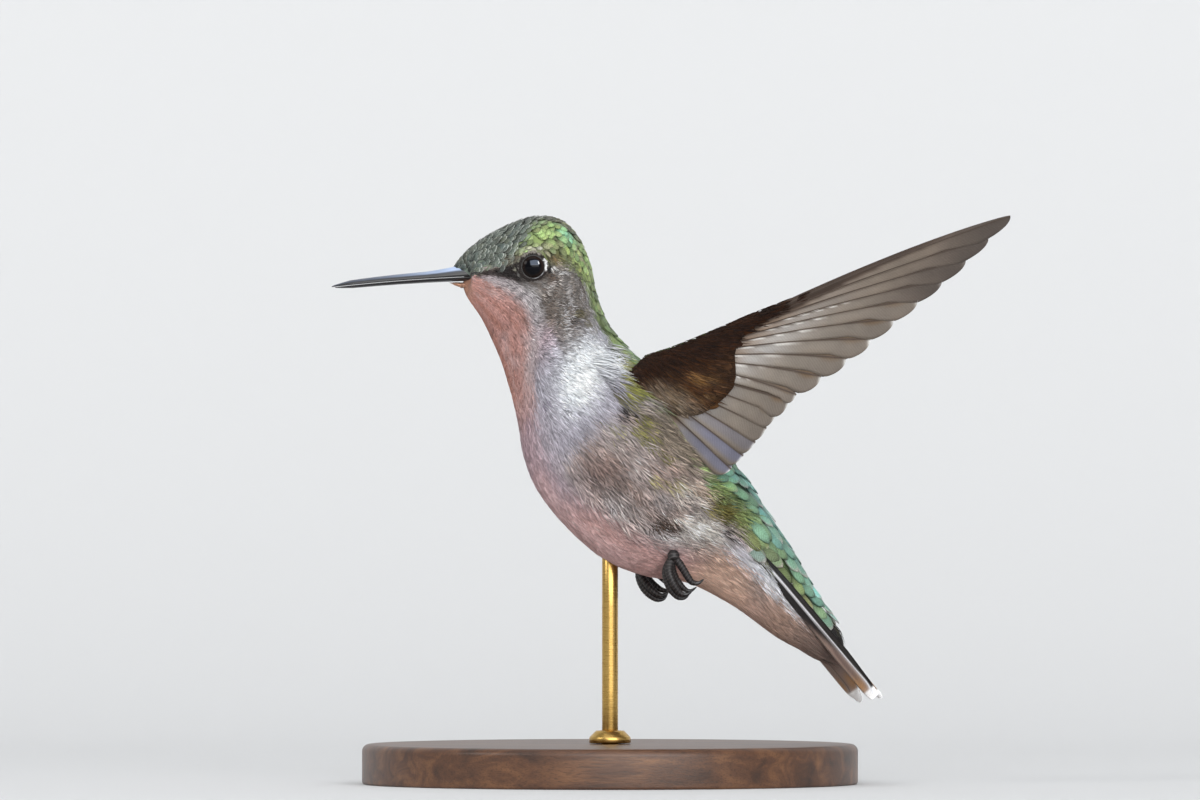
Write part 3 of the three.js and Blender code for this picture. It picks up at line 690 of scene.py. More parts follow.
def unwrap(station, angle, along, across, length, width):
    """The export's map: each feather is a small patch at its root's place."""
    u = angle[:, None] / (2 * np.pi) * 0.99 + 0.005 + across / width[:, None] * PATCH
    v = station[:, None] / LAST * 0.98 + 0.01 + (along / length[:, None] - 0.5) * PATCH
    return np.stack([u, v], -1)


# A vane: six rings of six points, five over and one under, that narrow to a rounded end.
VANE_RINGS = np.array([0.0, 0.3, 0.6, 0.82, 0.95, 1.0])
VANE_WIDTH = np.array([0.4, 0.86, 1.0, 0.88, 0.52, 0.1])
RING_ACROSS = np.array([-0.5, -0.36, 0.0, 0.36, 0.5, 0.0])
RING_OVER = np.array([0.0, 0.75, 1.0, 0.75, 0.0, -0.2])
VANE_POINTS = len(VANE_RINGS) * len(RING_ACROSS)


def vane_faces(count):
    """Faces of count vanes: five bands of six quads between their rings, and two end caps."""
    band = tube_faces(len(VANE_RINGS), 6)
    ends = np.array([[0, 3, 2, 1], [0, 5, 4, 3], [30, 31, 32, 33], [30, 33, 34, 35]])
    one = np.concatenate([band, ends])
    return (one[None] + VANE_POINTS * np.arange(count)[:, None, None]).reshape(-1, 4)


def vane_charts(length, width, root_lift, tip_lift, crown, bend):
    """Along, across and lift of vanes: the width follows the ring table, and crown domes the middle."""
    r = np.repeat(VANE_RINGS, 6)
    q = np.tile(RING_ACROSS, 6)
    over = np.tile(RING_OVER, 6) * np.repeat(np.sqrt(VANE_WIDTH), 6)
    along = length[:, None] * (r + 0.05 * (1 - (2 * q) ** 2) * r)[None]
    across = width[:, None] * (np.repeat(VANE_WIDTH, 6) * q)[None]
    across = across + bend[:, None] * (r**2)[None] * length[:, None]
    lift = root_lift[:, None] + (tip_lift - root_lift)[:, None] * r[None] ** 0.8
    lift = lift + crown * width[:, None] * over[None]
    return along, across, lift


def chevrons(along, across):
    """Distance square to the barbs, which leave the shaft at 40 degrees, so that ridges form a V."""
    return 0.77 * along - 0.64 * np.abs(across)


# A lock: barbs that fan out from one root. Each barb is a three-sided spike with a bend in it:
# shares of its reach, of its thickness sideways and upwards, and of the lock's loft.
BARB_REACH = np.array([0, 0, 0, 0.55, 0.55, 0.55, 1.0])
BARB_SIDE = np.array([-0.5, 0.5, 0, -0.42, 0.42, 0, 0.0])
BARB_OVER = np.array([0, 0, 0.3, 0, 0, 0.25, 0.1])
BARB_RISE = np.array([0, 0, 0, 0.66, 0.66, 0.66, 1.0])
BARB_POINTS = len(BARB_REACH)


def lock_faces(count):
    """Faces of count barbs: three quads, three triangles to the tip and one for the base."""
    quads = np.array([[0, 1, 4, 3], [1, 2, 5, 4], [2, 0, 3, 5]])
    triangles = np.array([[3, 4, 6], [4, 5, 6], [5, 3, 6], [2, 1, 0]])
    shift = BARB_POINTS * np.arange(count)[:, None, None]
    return (quads[None] + shift).reshape(-1, 4), (triangles[None] + shift).reshape(-1, 3)


def lock_charts(length, width, barbs, barb_width, fan, root, loft, curl):
    """Along, across and lift of locks: barb k, from -1 to 1, leans out by its share of fan."""
    n = len(length)
    k = np.linspace(-1, 1, barbs)[None] + chance.uniform(-0.25, 0.25, (n, barbs))
    reach = length[:, None] * (1 - 0.22 * k**2) * chance.uniform(0.7, 1.15, (n, barbs))
    lean = fan[:, None] * k + chance.normal(0, 0.06, (n, barbs))
    hook = curl[:, None] + chance.normal(0, 0.05, (n, barbs))
    high = loft[:, None] * chance.uniform(0.5, 1.15, (n, barbs))
    thick = barb_width[:, None] * chance.uniform(0.7, 1.3, (n, barbs))
    start = chance.uniform(-0.15, 0.25, (n, barbs)) * length[:, None]
    every = k, reach, lean, hook, high, thick, start
    k, reach, lean, hook, high, thick, start = (v[..., None] for v in every)
    f = BARB_REACH
    along = start + reach * f
    across = 0.5 * width[:, None, None] * k + reach * f * lean + hook * reach * f**2
    across = across + thick * BARB_SIDE
    lift = root[:, None, None] + high * BARB_RISE + thick * BARB_OVER
    return along.reshape(n, -1), across.reshape(n, -1), lift.reshape(n, -1)


print("one vane:", len(vane_faces(1)), "quads; one barb:", [len(faces) for faces in lock_faces(1)], "faces")

# %% [markdown]
# ## Green feathers of crown, back and rump
# Small round scales cover the forehead, half a millimetre apart, and they grow to 3.6 mm on the rump
# and over the tail. On the forehead each is dark in the middle with a pale fringe. On the back each is
# bright green with a dull edge, more golden towards the flank and more turquoise along the spine.

# %% Green scales
def vane_tints(tint, fringe, edge_share, tip_share, root_shade):
    """Colours of vanes: dark at the root, the feather's own colour, and the fringe at edge and tip."""
    ring = np.repeat(np.arange(6), 6)
    rim = np.tile(np.array([1.0, 0.1, 0.0, 0.1, 1.0, 0.4]), 6)
    shade = np.interp(ring, [0, 1, 2, 5], [root_shade, (1 + root_shade) / 2, 1, 1])
    tip = np.array([0, 0, 0, 0.15, 0.85, 1.0])[ring]
    share = np.clip(edge_share * rim * (ring >= 1) + tip_share * tip, 0, 1)
    colours = tint[:, None] * shade[None, :, None]
    return np.clip(colours + (fringe[:, None] - colours) * share[None, :, None], 0, 1)


def varied(tint, spread, warmth=0.0):
    """Each feather's own shade: brightness by a normal spread, and a drift between red and blue."""
    bright = 1 + chance.normal(0, spread, len(tint))
    drift = chance.normal(0, 1, len(tint))[:, None] * warmth * np.array([1.0, 0.15, -1.0])
    return np.clip(tint * bright[:, None] + drift, 0.01, 1)


def vane_piece(name, s, a, heading, charts, length, width, colours, material):
    """One joined mesh of vanes on the body."""
    points = on_body(s, a, heading, *charts)
    bake = unwrap(s, a, *charts[:2], length, width)
    barb = chevrons(*charts[:2]) + chance.uniform(0, 0.2, (len(s), 1))
    piece = make_piece(name, points, vane_faces(len(s)), (), colours, {"barb_mm": barb}, bake, material)


def green_scales(name, low, high, step, width, length, tip_lift):
    """Vanes over the green plumage between two sections.

    Forehead scales are dark with a pale fringe, half of those on the hind crown have a buff fringe,
    and so have two in five on the rump.
    """
    s, a = brick_roots(step, width, low, high, 0.26)
    deg = angle_from_back(a)
    keep = deg < np.interp(s, *GREEN_EDGE) + chance.normal(1, 2.0, len(s))
    s, a, deg = s[keep], a[keep], deg[keep]
    n = len(s)
    near_eye = ease(np.linalg.norm(on_skin(s, a)[:, [0, 2]] - EYE, axis=1), 1.7, 3.2)
    size = chance.uniform(0.82, 1.15, n) * (0.5 + 0.5 * near_eye)
    long_, wide = length * size, width * 1.15 * size
    tip = tip_lift * chance.uniform(0.6, 1.3, n) * (0.4 + 0.6 * near_eye)
    base = 0.5 * coat_depth(s) * ease(s, 3, 9) + 0.03
    charts = vane_charts(long_, wide, base, base + tip, 0.09, chance.normal(0, 0.05, n))
    fore = 1 - ease(s + deg / 130, 2.85, 3.5)
    blue = chance.normal(0, 0.25, n) + (1 - ease(deg, 40, 80)) * ease(s, 9.5, 11.5) * 0.5
    tint = painted(
        plumage(s, a, coat(s, a)),
        ("#7FBDB4", np.clip(blue, 0, 1) * ease(s, 7.5, 9.0)),
        ("#7FA668", np.clip(-blue, 0, 1) * (1 - fore) * 0.8),
        ("#444B43", 0.82 * fore),
    )
    tint = varied(tint * (1 - 0.1 * ease(s, 9, 11))[:, None], 0.1, 0.008)
    fringe = tint * (0.72 - 0.2 * ease(s, 9, 11))[:, None] + 0.06
    rump = 0.8 * (ease(s, 10.6, 11.8) * (chance.random(n) < 0.4))[:, None]
    fringe = fringe * (1 - rump) + srgb("#CDBDB9") * rump
    hind = 0.7 * (within(s, 3.4, 6.2, 0.4) * (chance.random(n) < 0.5))[:, None]
    fringe = fringe * (1 - hind) + srgb("#A39C82") * hind
    pale = srgb("#C6CAC3") * chance.uniform(0.55, 1.08, (n, 1))
    fringe = np.where(fore[:, None] > 0.5, pale, fringe)
    colours = vane_tints(tint, fringe, 0.7, 0.9, 0.52)
    heading = chance.normal(0.02, 0.13, n)
    vane_piece(name, s, a, heading, charts, long_, wide, colours, GREEN)


for row in (  # name, first and last section, spacing along and round, length and lift of the tip
    ("forehead_scales", 0.03, 1.9, 0.5, 0.64, 0.95, 0.2),
    ("crown_scales", 1.9, 3.5, 0.62, 0.8, 1.15, 0.26),
    ("hind_crown_scales", 3.5, 5.7, 0.74, 0.9, 1.5, 0.28),
    ("nape_scales", 5.7, 8.2, 1.0, 1.1, 2.1, 0.38),
    ("back_feathers", 8.2, 12.6, 1.25, 1.6, 2.8, 0.34),
    ("rump_feathers", 12.6, 15.55, 1.5, 1.8, 3.6, 0.36),
):
    green_scales(*row)

# %% [markdown]
# ## Soft feathers of face, throat, breast and belly
# The pale feathers are loose: their barbs don't hook together, so they read as fine hair-like
# streaks that lie along the body. Each lock here is one feather, a fan of barbs from one root.
# On the face they are a millimetre long, on the flank three and a half. The throat's feathers keep
# more of their outline, so broad soft vanes with pale edges lie under the barbs there.

# %% Soft locks
def lie(s, deg):
    """How far soft feathers turn from the body's line, in radians, positive towards the belly."""
    turn = -0.85 * within(s, 4.2, 6.3, 0.6) * within(deg, 45, 112, 12)
    turn = turn - 0.5 * within(s, 6.3, 7.7, 0.6) * within(deg, 40, 125, 14)
    turn = turn - 0.15 * within(s, 7.7, 9.3, 0.6) * within(deg, 40, 120, 14)
    turn = turn + 0.15 * within(s, 9.8, 12.5, 0.7) * within(deg, 60, 120, 12)
    return np.clip(turn, -0.95, 0.5)


def soft_roots(low, high, step, width, jitter, green=False):
    """Roots outside the green plumage, or inside it, clear of the eye's lid."""
    s, a = brick_roots(step, width, low, high, jitter)
    deg, edge = angle_from_back(a), np.interp(s, *GREEN_EDGE)
    keep = deg < edge + 2 if green else deg > edge - chance.normal(3, 2.0, len(s))
    from_eye = np.linalg.norm(coat(s, a)[:, [0, 2]] - EYE, axis=1)
    keep &= (from_eye > 0.5) | (s > 6)
    return s[keep], a[keep], deg[keep], from_eye[keep]


def soft_vanes(name, low, high, step, width, length):
    """Broad flat vanes with paler fringes, which hide the skin and make the coat smooth."""
    s, a, deg, from_eye = soft_roots(low, high, step, width, 0.35)
    n = len(s)
    calm = np.where(s < 6, ease(from_eye, 0.6, 3.4), 1)
    size = chance.uniform(0.85, 1.15, n) * (0.4 + 0.6 * calm)
    long_, wide = length * size, width * 1.35 * size
    low_lift = 0.08 * coat_depth(s) * calm
    high_lift = 0.3 * coat_depth(s) * calm * chance.uniform(0.7, 1.2, n) + 0.02
    charts = vane_charts(long_, wide, low_lift, high_lift, 0.02, chance.normal(0, 0.05, n))
    ahead = s + 0.55 * long_ / body_scale(s, a)[0]  # coloured as the coat is half way down the vane
    tint = varied(plumage(ahead, a, coat(ahead, a)), 0.02, 0.004)
    loose = within(s, 8.7, 12.8, 0.5) * within(deg, 50, 130, 10)
    tint = np.clip(tint * (1 + chance.normal(0, 0.05, n) * loose)[:, None], 0, 1)
    colours = vane_tints(tint, np.clip(tint * 1.05, 0, 1), 0.3, 0.5, 0.96)
    heading = lie(s, deg) + chance.normal(0, 0.08, n)
    vane_piece(name, s, a, heading, charts, long_, wide, colours, DOWN)


def soft_locks(
    name, low, high, step, width, length, barbs, thick, fan, green=False, near=(0, 180), rise=0.3
):
    """Locks of barbs over the plumage between two sections; near bounds the angle from the back.

    The locks lie closest round the eye, and stand loosest on the flank and under the wing.
    """
    found = soft_roots(low, high, step, width, 0.42, green)
    s, a, deg, from_eye = (v[(found[2] >= near[0]) & (found[2] <= near[1])] for v in found)
    n = len(s)
    calm = np.where(s < 6, ease(from_eye, 0.7, 3.4), 1)
    long_ = length * chance.uniform(0.75, 1.25, n) * (0.4 + 0.6 * calm)
    wide = width * 1.4 * np.ones(n)
    thick = thick * (0.6 + 0.4 * calm)
    depth = coat_depth(s) * (0.3 + 0.7 * calm)
    loose = within(s, 8.9, 12.9, 0.5) * within(deg, 50, 130, 10)
    loft = depth * (rise + 1.1 * loose * chance.uniform(0, 1, n) ** 2)
    fans = fan * chance.uniform(0.5, 1.3, n)
    charts = lock_charts(long_, wide, barbs, thick, fans, 0.6 * depth, loft, chance.normal(0, 0.06, n))
    heading = (0 if green else 1) * lie(s, deg) + chance.normal(0, 0.06 + 0.07 * loose, n)
    points = on_body(s, a, heading, *charts)
    middle = points.reshape(n, barbs, BARB_POINTS, 3)[:, :, 3]
    each_s, each_a = (np.repeat(v[:, None], barbs, 1) for v in (s, a))
    tint = 0.6 * plumage(each_s, each_a, middle) + 0.4 * plumage(s, a, on_skin(s, a))[:, None]
    face = within(s, 2.4, 6.2, 0.5) * within(deg, 50, 105, 8)
    lock_spread = 0.035 + 0.1 * loose + 0.14 * face
    barb_spread = 0.1 - 0.05 * np.maximum(ease(s, 12.4, 13.4), ease(deg, 118, 132))
    bright = 1 + chance.normal(0, 1, (n, 1)) * lock_spread[:, None]
    bright = bright * (1 + chance.normal(0.01, 1, (n, barbs)) * barb_spread[:, None])
    fade = np.array([0.9, 0.9, 0.9, 1.0, 1.0, 1.0, 1.08])  # darker at the root, lighter at the tip
    fade = fade - 0.14 * loose[:, None, None] * (BARB_REACH == 0)
    colours = np.clip(tint[:, :, None] * bright[..., None, None] * fade[..., None], 0, 1)
    bake = unwrap(s, a, *charts[:2], long_, wide)
    material = GREEN if green else DOWN
    piece = make_piece(name, points, *lock_faces(n * barbs), colours, bake=bake, material=material)


for row in (  # name, first and last section, spacing along and round, length
    ("throat_and_neck_vanes", 4.6, 8.0, 0.95, 0.95, 2.3),
    ("breast_vanes", 8.0, 11.0, 1.25, 1.2, 2.9),
    ("belly_vanes", 11.0, 13.6, 1.25, 1.2, 3.0),
    ("undertail_vanes", 13.6, 15.9, 1.4, 1.3, 4.2),
):
    soft_vanes(*row)
for row in (  # the same, then barbs in a lock, a barb's thickness, and how far the lock fans out
    ("face_barbs", 0.1, 3.4, 0.36, 0.34, 1.0, 6, 0.085, 0.25),
    ("cheek_barbs", 3.4, 5.4, 0.4, 0.38, 1.5, 7, 0.1, 0.24),
    ("neck_barbs", 5.4, 7.3, 0.5, 0.46, 2.3, 8, 0.12, 0.2),
    ("breast_barbs", 7.3, 9.3, 0.6, 0.54, 2.7, 8, 0.13, 0.2),
    ("flank_barbs", 9.3, 11.2, 0.6, 0.56, 2.8, 8, 0.13, 0.26),
    ("belly_barbs", 11.2, 13.2, 0.62, 0.56, 2.9, 8, 0.13, 0.24),
    ("undertail_barbs", 13.2, 15.9, 0.7, 0.62, 3.6, 8, 0.13, 0.12),
    ("scapular_barbs", 7.3, 9.0, 0.7, 0.55, 3.5, 8, 0.13, 0.2, False, (30, 62), 2.0),
    ("nape_fringe_barbs", 6.0, 9.0, 1.1, 0.9, 1.4, 5, 0.12, 0.25, True),
    ("rump_fringe_barbs", 11.0, 12.7, 0.6, 0.55, 2.0, 7, 0.13, 0.3, True, (58, 100), 0.9),
):
    soft_locks(*row)

# %% [markdown]
# ## Wings
# Each wing has ten primaries on the hand and six secondaries on the arm. A flight feather is one
# shaft with a narrow vane in front and a broad vane behind. The broad vane of each feather lies over
# the front of the next one, seen from below, as slats in a blind do, and air pressure shuts them.
# The wing is drawn flat, by reach along its front edge and chord behind it, then laid in space.

# %% The wing's plane
SHOULDER = (3.2, 6.2, 52.4)  # x, distance from the middle, z
PITCH = np.radians(21.8)
SPREAD = 0.38  # millimetres sideways for each millimetre of reach
TRAILING_EDGE = [  # reach and chord of the feathers' tips, from the wing's tip inwards
    (49.7, 0.1), (42.3, 3.2), (33, 6.2), (25.6, 8.7), (18.5, 10.5), (14.6, 11.8), (11.2, 14), (6.2, 16.5),
]
FEATHER_ROOTS = np.array([(14.7, 0.3), (6.4, 2.8), (1.4, 6.4)])  # outer primary, wrist, inner secondary


def lay_wing(reach, chord, lift, side):
    """x, y, z of the wing's plane: pitched up by 21.8 degrees, spread outwards, hollow below."""
    camber = 0.9 * np.sin(np.pi * np.clip(chord / 14, 0, 1))
    out = SHOULDER[1] + SPREAD * reach - 0.08 * chord - camber + lift
    x = SHOULDER[0] + reach * np.cos(PITCH) + chord * np.sin(PITCH)
    z = SHOULDER[2] + reach * np.sin(PITCH) - chord * np.cos(PITCH)
    return np.stack([x, side * out, z], -1)


def flight_rows():
    """Roots and tips of the sixteen feathers, from the outermost inwards."""
    tips = evenly(TRAILING_EDGE, np.append(np.linspace(0, 0.735, 10), np.linspace(0.76, 1, 6)))
    outer, wrist, inner = FEATHER_ROOTS
    hand = outer + (wrist - outer) * np.linspace(0, 1, 10)[:, None]
    arm = wrist + (inner - wrist) * (np.arange(1, 7) / 6)[:, None]
    return np.concatenate([hand, arm]), tips


roots, tips = flight_rows()
print("longest primary, mm:", np.linalg.norm(tips - roots, axis=1).max().round(1))

# %% [markdown]
# ### One feather, two parameters
# A feather's point is given by v along the shaft and q across, from -1 at the front edge through 0
# on the shaft to 1 at the rear edge. The two vanes have their own widths, which round off at the
# tip. The blade is two such sheets, a tenth of a millimetre apart, that meet at the edges, and the
# shaft is a ridge on both.

# %% Feather blade
BLADE_ACROSS = np.array([-1, -0.82, -0.58, -0.33, -0.12, -0.035, 0, 0.035, 0.12, 0.33, 0.58, 0.82, 1])


def blade(shaft, front, rear, lifts, lay, tip_power, steps=44, thickness=0.1, ridge=0.16, swell=0.0):
    """Points and faces of one feather, and its charts: v, q, 1 on top or 0 below, mm from the shaft.

    shaft is an array of plane points from root to tip, and front and rear are vane widths at equal
    shares of it. Each vane narrows by (1 - v^p)^(1/p) near the tip. lifts are the rise of the front
    and the rear edge, and lay(a, b, lift) places a plane point. swell plumps up the last few per
    cent, where loose barbs fluff out.
    """
    v = np.sin(np.linspace(0, np.pi / 2, steps))  # closer together towards the tip
    q = BLADE_ACROSS
    line = through(shaft, v * (len(shaft) - 1))
    step = np.gradient(line, axis=0)
    step /= np.linalg.norm(step, axis=1)[:, None]
    normal = np.stack([-step[:, 1], step[:, 0]], -1)  # towards the rear edge
    narrow_front = (1 - np.clip((v - 0.55) / 0.45, 0, 1) ** tip_power) ** (1 / 1.7)
    narrow_rear = (1 - np.clip((v - 0.62) / 0.38, 0, 1) ** (tip_power * 1.25)) ** (1 / 1.9)
    base = ease(v, -0.02, 0.16) * 0.75 + 0.25
    w_front = np.interp(v, np.linspace(0, 1, len(front)), front) * narrow_front * base
    w_rear = np.interp(v, np.linspace(0, 1, len(rear)), rear) * narrow_rear * base
    offset = np.where(q < 0, q * w_front[:, None], q * w_rear[:, None])
    plane = line[:, None] + normal[:, None] * offset[..., None]
    slope = np.where(q < 0, lifts[0] * -q, lifts[1] * q)[None] * ease(v, 0, 0.25)[:, None]
    quill = ridge * (1.15 - v)[:, None] * np.exp(-((offset / 0.12) ** 2))
    half = (thickness / 2) * (0.25 + 0.75 * (1 - np.abs(q) ** 4))[None] + quill
    half = half + swell * np.exp(-(((v - 0.97) / 0.03) ** 2))[:, None] * (1 - q**2)
    top = lay(plane[..., 0], plane[..., 1], slope + half)
    low = lay(plane[..., 0], plane[..., 1], slope - half * 0.8)
    points, quads, caps = closed_tube(np.concatenate([top, low[:, ::-1]], axis=1))
    v, q = np.broadcast_arrays(v[:, None], q[None])
    charts = [(v, v), (q, q[:, ::-1]), (np.ones(q.shape), np.zeros(q.shape)), (offset, offset[:, ::-1])]
    charts = [np.concatenate(pair, axis=1) for pair in charts]
    charts = [np.append(c, [c[0].mean(), c[-1].mean()]) for c in charts]
    return *facing_out(points, quads, caps), charts


def blade_strip(place, count, v, q, over):
    """The export's map: one strip of count for each blade, half for its top and half for its back."""
    strip = (place + 0.06 + 0.88 * (0.5 + 0.5 * q) * 0.48 + 0.5 * (1 - over)) / count
    return np.stack([strip, 0.02 + 0.96 * v], -1)


def blades_piece(name, blades, material):
    """One piece of several blades, each with its points, faces, colours, barb numbers and map."""
    points, quads, triangles = joined([b[:3] for b in blades])
    tints, barbs, bakes = (np.concatenate([b[k] for b in blades]) for k in (3, 4, 5))
    piece = make_piece(name, points, quads, triangles, tints, {"barb_mm": barbs}, bakes, material)
    return piece


# %% [markdown]
# ### Flight feather finish
# The barbs run from the shaft to the edge, and are drawn as a fine relief of ridges 0.3 mm apart,
# coarser than the real 0.1 mm so that they show. From below the rear vane is pale grey, browner
# towards its end, and the front vane and the shaft are brown.

# %% Flight feather material
FLIGHT = plumage_material("locked_barbs_of_flight_feathers", 0.55, 0.0, 0.07, 0.3, sheen=0.1, apart=0.3)
RECTRIX = plumage_material("locked_barbs_of_tail_feathers", 0.5, 0.0, 0.08, 0.3, sheen=0.1, apart=0.3)
print("flight feather materials:", FLIGHT.name, RECTRIX.name)

# %% [markdown]
# The feathers of a wing are made in one loop, one pass for each feather, and joined. The far wing is
# the same set mirrored in the plane of the bird's head. A rear vane covers most of the gap to the
# next shaft, and the front vane of that feather covers the rest.

# %% Flight feathers
PRIMARIES = 10


def beside(shaft, other):
    """Distance of a shaft's points from another feather's line, and how far along it they are."""
    line, off = tips[other] - roots[other], shaft - roots[other]
    across = np.abs(off[:, 0] * line[1] - off[:, 1] * line[0]) / np.linalg.norm(line)
    return across, off @ line / (line @ line)


def flight_colours(i, p, v, q, over, mm, length):
    """sRGB of feather i, counted from the wing's front: ground, vanes, marks, edge, shaft, upper side."""
    speck, broad = mottle(p, 1.1, 40 + i), mottle(p, 4.0, 60 + i)
    outer = 1 - ease(i, 0, 5.5)
    x, z = p[:, 0] - SHOULDER[0], p[:, 2] - SHOULDER[2]
    reach, chord = x * np.cos(PITCH) + z * np.sin(PITCH), x * np.sin(PITCH) - z * np.cos(PITCH)
    edge = np.interp(reach, [14, 20, 27, 33, 42], [1.4, 0.9, 0.35, -0.1, -0.5])
    front_edge = 0.92 * (1 - ease(chord + 0.15 * speck, edge - 0.2, edge + 0.35))
    # painted highlights: pale glints of light on the shaft, 0.6 mm apart, on feathers 3 to 9
    shaft_glints = within(v, 0.14, 0.55, 0.07) * (3 <= i <= 9)  # pale points along the shaft, 0.6 mm apart
    shaft_glints = shaft_glints * ease(np.sin(v * length * 2 * np.pi / 0.6), -0.3, 0.5)
    brown_end = 0.9 if i in (5, 8, 10) else 0.5 if 3 < i < 12 else 0
    lavender = 0 if i < 13 else 0.45 if i == 13 else 0.85
    tint = painted(
        flat("#A8A5A2" if i < PRIMARIES else "#84807D", len(p)),
        ("#746A5F", ease(v + 0.05 * broad, 0.26, 0.66) * 0.85),
        ("#5B4D40", ease(-q, -0.06, 0.04) * 0.95),
        # painted shade: the rear edge of the rear vane lies doubled over the next feather's front vane, and
        # lets less light through
        ("#6A5D50", 0.5 * ease(q + 0.1 * speck, 0.72, 0.95) * (1 - 0.6 * ease(v, 0.86, 0.92))),
        ("#6F6256", np.full(len(p), outer * 0.8)),
        ("#463D37", ease(v, 0.6, 0.95) * (0.95 if i < 4 else 0.3)),
        ("#6F523A", (1 - ease(v, 0.1, 0.36)) * 0.6),
        ("#67513B", brown_end * ease(spot(v, q, 0.89, -0.25, 0.1, 0.5), 0.2, 0.7)),
        ("#646578", lavender * ease(v, 0.15, 0.6) * (1 - ease(q, 0.5, 0.8))),
        ("#EEF0F0", 0.8 * ease(v, 0.97, 1.0) * (1 - outer)),
        ("#33241A", front_edge * (1 - 0.4 * ease(reach, 36, 44))),
        ("#3E3128", np.exp(-((mm / 0.12) ** 2)) * 0.95),
        # painted highlight: the glints on the shaft
        ("#F3F1EC", 0.9 * shaft_glints * np.exp(-(((mm - 0.14) / 0.07) ** 2))),
        ("#564A45", (1 - over) * 0.85),
    )
    return np.clip(tint * (1 + 0.05 * speck + 0.06 * broad)[:, None], 0, 1)


def wing_feathers(name, first, last, side):
    """Feathers first to last of one wing as one piece: those of the hand are primaries."""
    blades = []
    for i in range(first, last):
        hand = i < PRIMARIES
        height = 0.16 if hand else 0.05
        length = np.linalg.norm(tips[i] - roots[i])
        share = np.linspace(0, 1, 9)
        shaft = roots[i] + (tips[i] - roots[i]) * share[:, None]
        shaft[:, 1] -= (0.5 if hand else 0.15) * np.sin(np.pi * share)
        behind, past = beside(shaft, i + 1) if i < 15 else (np.linspace(1.3, 2.0, 9), 0)
        before = beside(shaft, i - 1)[0] if i > 0 else np.full(9, 1.35)
        rear = (0.77 if hand else 1.0) * behind + 2.5 * ease(past, 0.86, 1.08)
        rear = np.clip(rear, 0.5, 2.3 + 0.09 * i if hand else 2.7)
        front = np.clip(0.38 * before, 0.28, 0.8)

        def lay(reach, chord, lift):
            return lay_wing(reach, chord, lift + height, side)

        p, quads, caps, charts = blade(shaft, front, rear, (-0.1, 0.1), lay, 2.6 if hand else 6.0)
        v, q, over, mm = charts
        tint = flight_colours(i, p, *charts, length)
        barb = v * length * 0.82 - np.abs(mm) * 0.6
        blades.append((p, quads, caps, tint, barb, blade_strip(i - first, last - first, v, q, over)))
    return blades_piece(name, blades, FLIGHT)


for word, side in SIDES:
    primaries = wing_feathers(f"primary_feathers_{word}", 0, PRIMARIES, side)
    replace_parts(primaries, f"wing_{word}_primaries")
    secondaries = wing_feathers(f"secondary_feathers_{word}", PRIMARIES, 16, side)
    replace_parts(secondaries, f"wing_{word}_secondaries")

# %% [markdown]
# ### The feathered arm
# Over the bones lie the coverts: short brown feathers in rows, darkest along the front edge and
# rusty towards the body, that hide the roots of the flight feathers. Under them is a flat spindle
# of skin. Its thickness at any reach and chord is the height of half an ellipse.

# %% Arm skin and coverts
ARM = np.array([  # reach, front edge, rear edge, thickness
    (-1.5, 0.7, 5.0, 2.6), (1.5, -0.6, 7.4, 3.0), (5.0, -0.35, 8.9, 2.8),
    (8.5, -0.35, 8.2, 2.4), (10.8, -0.4, 6.7, 2.1), (12.2, -0.42, 3.2, 1.9),
    (14.5, -0.52, 1.6, 1.7), (18.5, -0.5, 0.8, 1.3), (22.5, -0.45, 0.2, 0.9),
])


def arm_row(reach, *columns):
    """Columns of the arm's table at any reach: 1 front edge, 2 rear edge, 3 thickness."""
    return [np.interp(reach, ARM[:, 0], ARM[:, k]) for k in columns]


def arm_height(reach, chord):
    """Half the arm's thickness: t/2 sqrt(1 - (distance from the middle / half chord)^2)."""
    front, rear, thick = arm_row(reach, 1, 2, 3)
    away = (chord - (front + rear) / 2) / np.maximum((rear - front) / 2, 0.2)
    return thick / 2 * np.sqrt(np.clip(1 - away**2, 0, 1))


def arm_skin(side, word, rings=50, around=28, inset=0.3):
    """Ellipses from edge to edge along the arm, a little inside the coverts."""
    row = through(ARM, np.linspace(0, len(ARM) - 1, rings))
    half = np.maximum((row[:, 2] - row[:, 1]) / 2 - 0.35 * inset, 0.12)[:, None]
    chord = ((row[:, 1] + row[:, 2]) / 2)[:, None] + half * np.cos(turns(around))
    lift = np.maximum(row[:, 3] / 2 - inset, 0.1)[:, None] * np.sin(turns(around))
    reach = np.broadcast_to(row[:, :1], chord.shape)
    p, q, t = facing_out(*closed_tube(lay_wing(reach, chord, lift, side)))
    charts = np.stack([reach, chord], -1).reshape(-1, 2)
    charts = np.concatenate([charts, charts[[0, -1]]])
    tint = covert_colour(charts[:, 0], charts[:, 1], p) * 0.7
    piece = make_piece(f"arm_skin_{word}", p, q, t, tint, material=COVERT)
    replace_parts(piece, f"wing_{word}_arm")


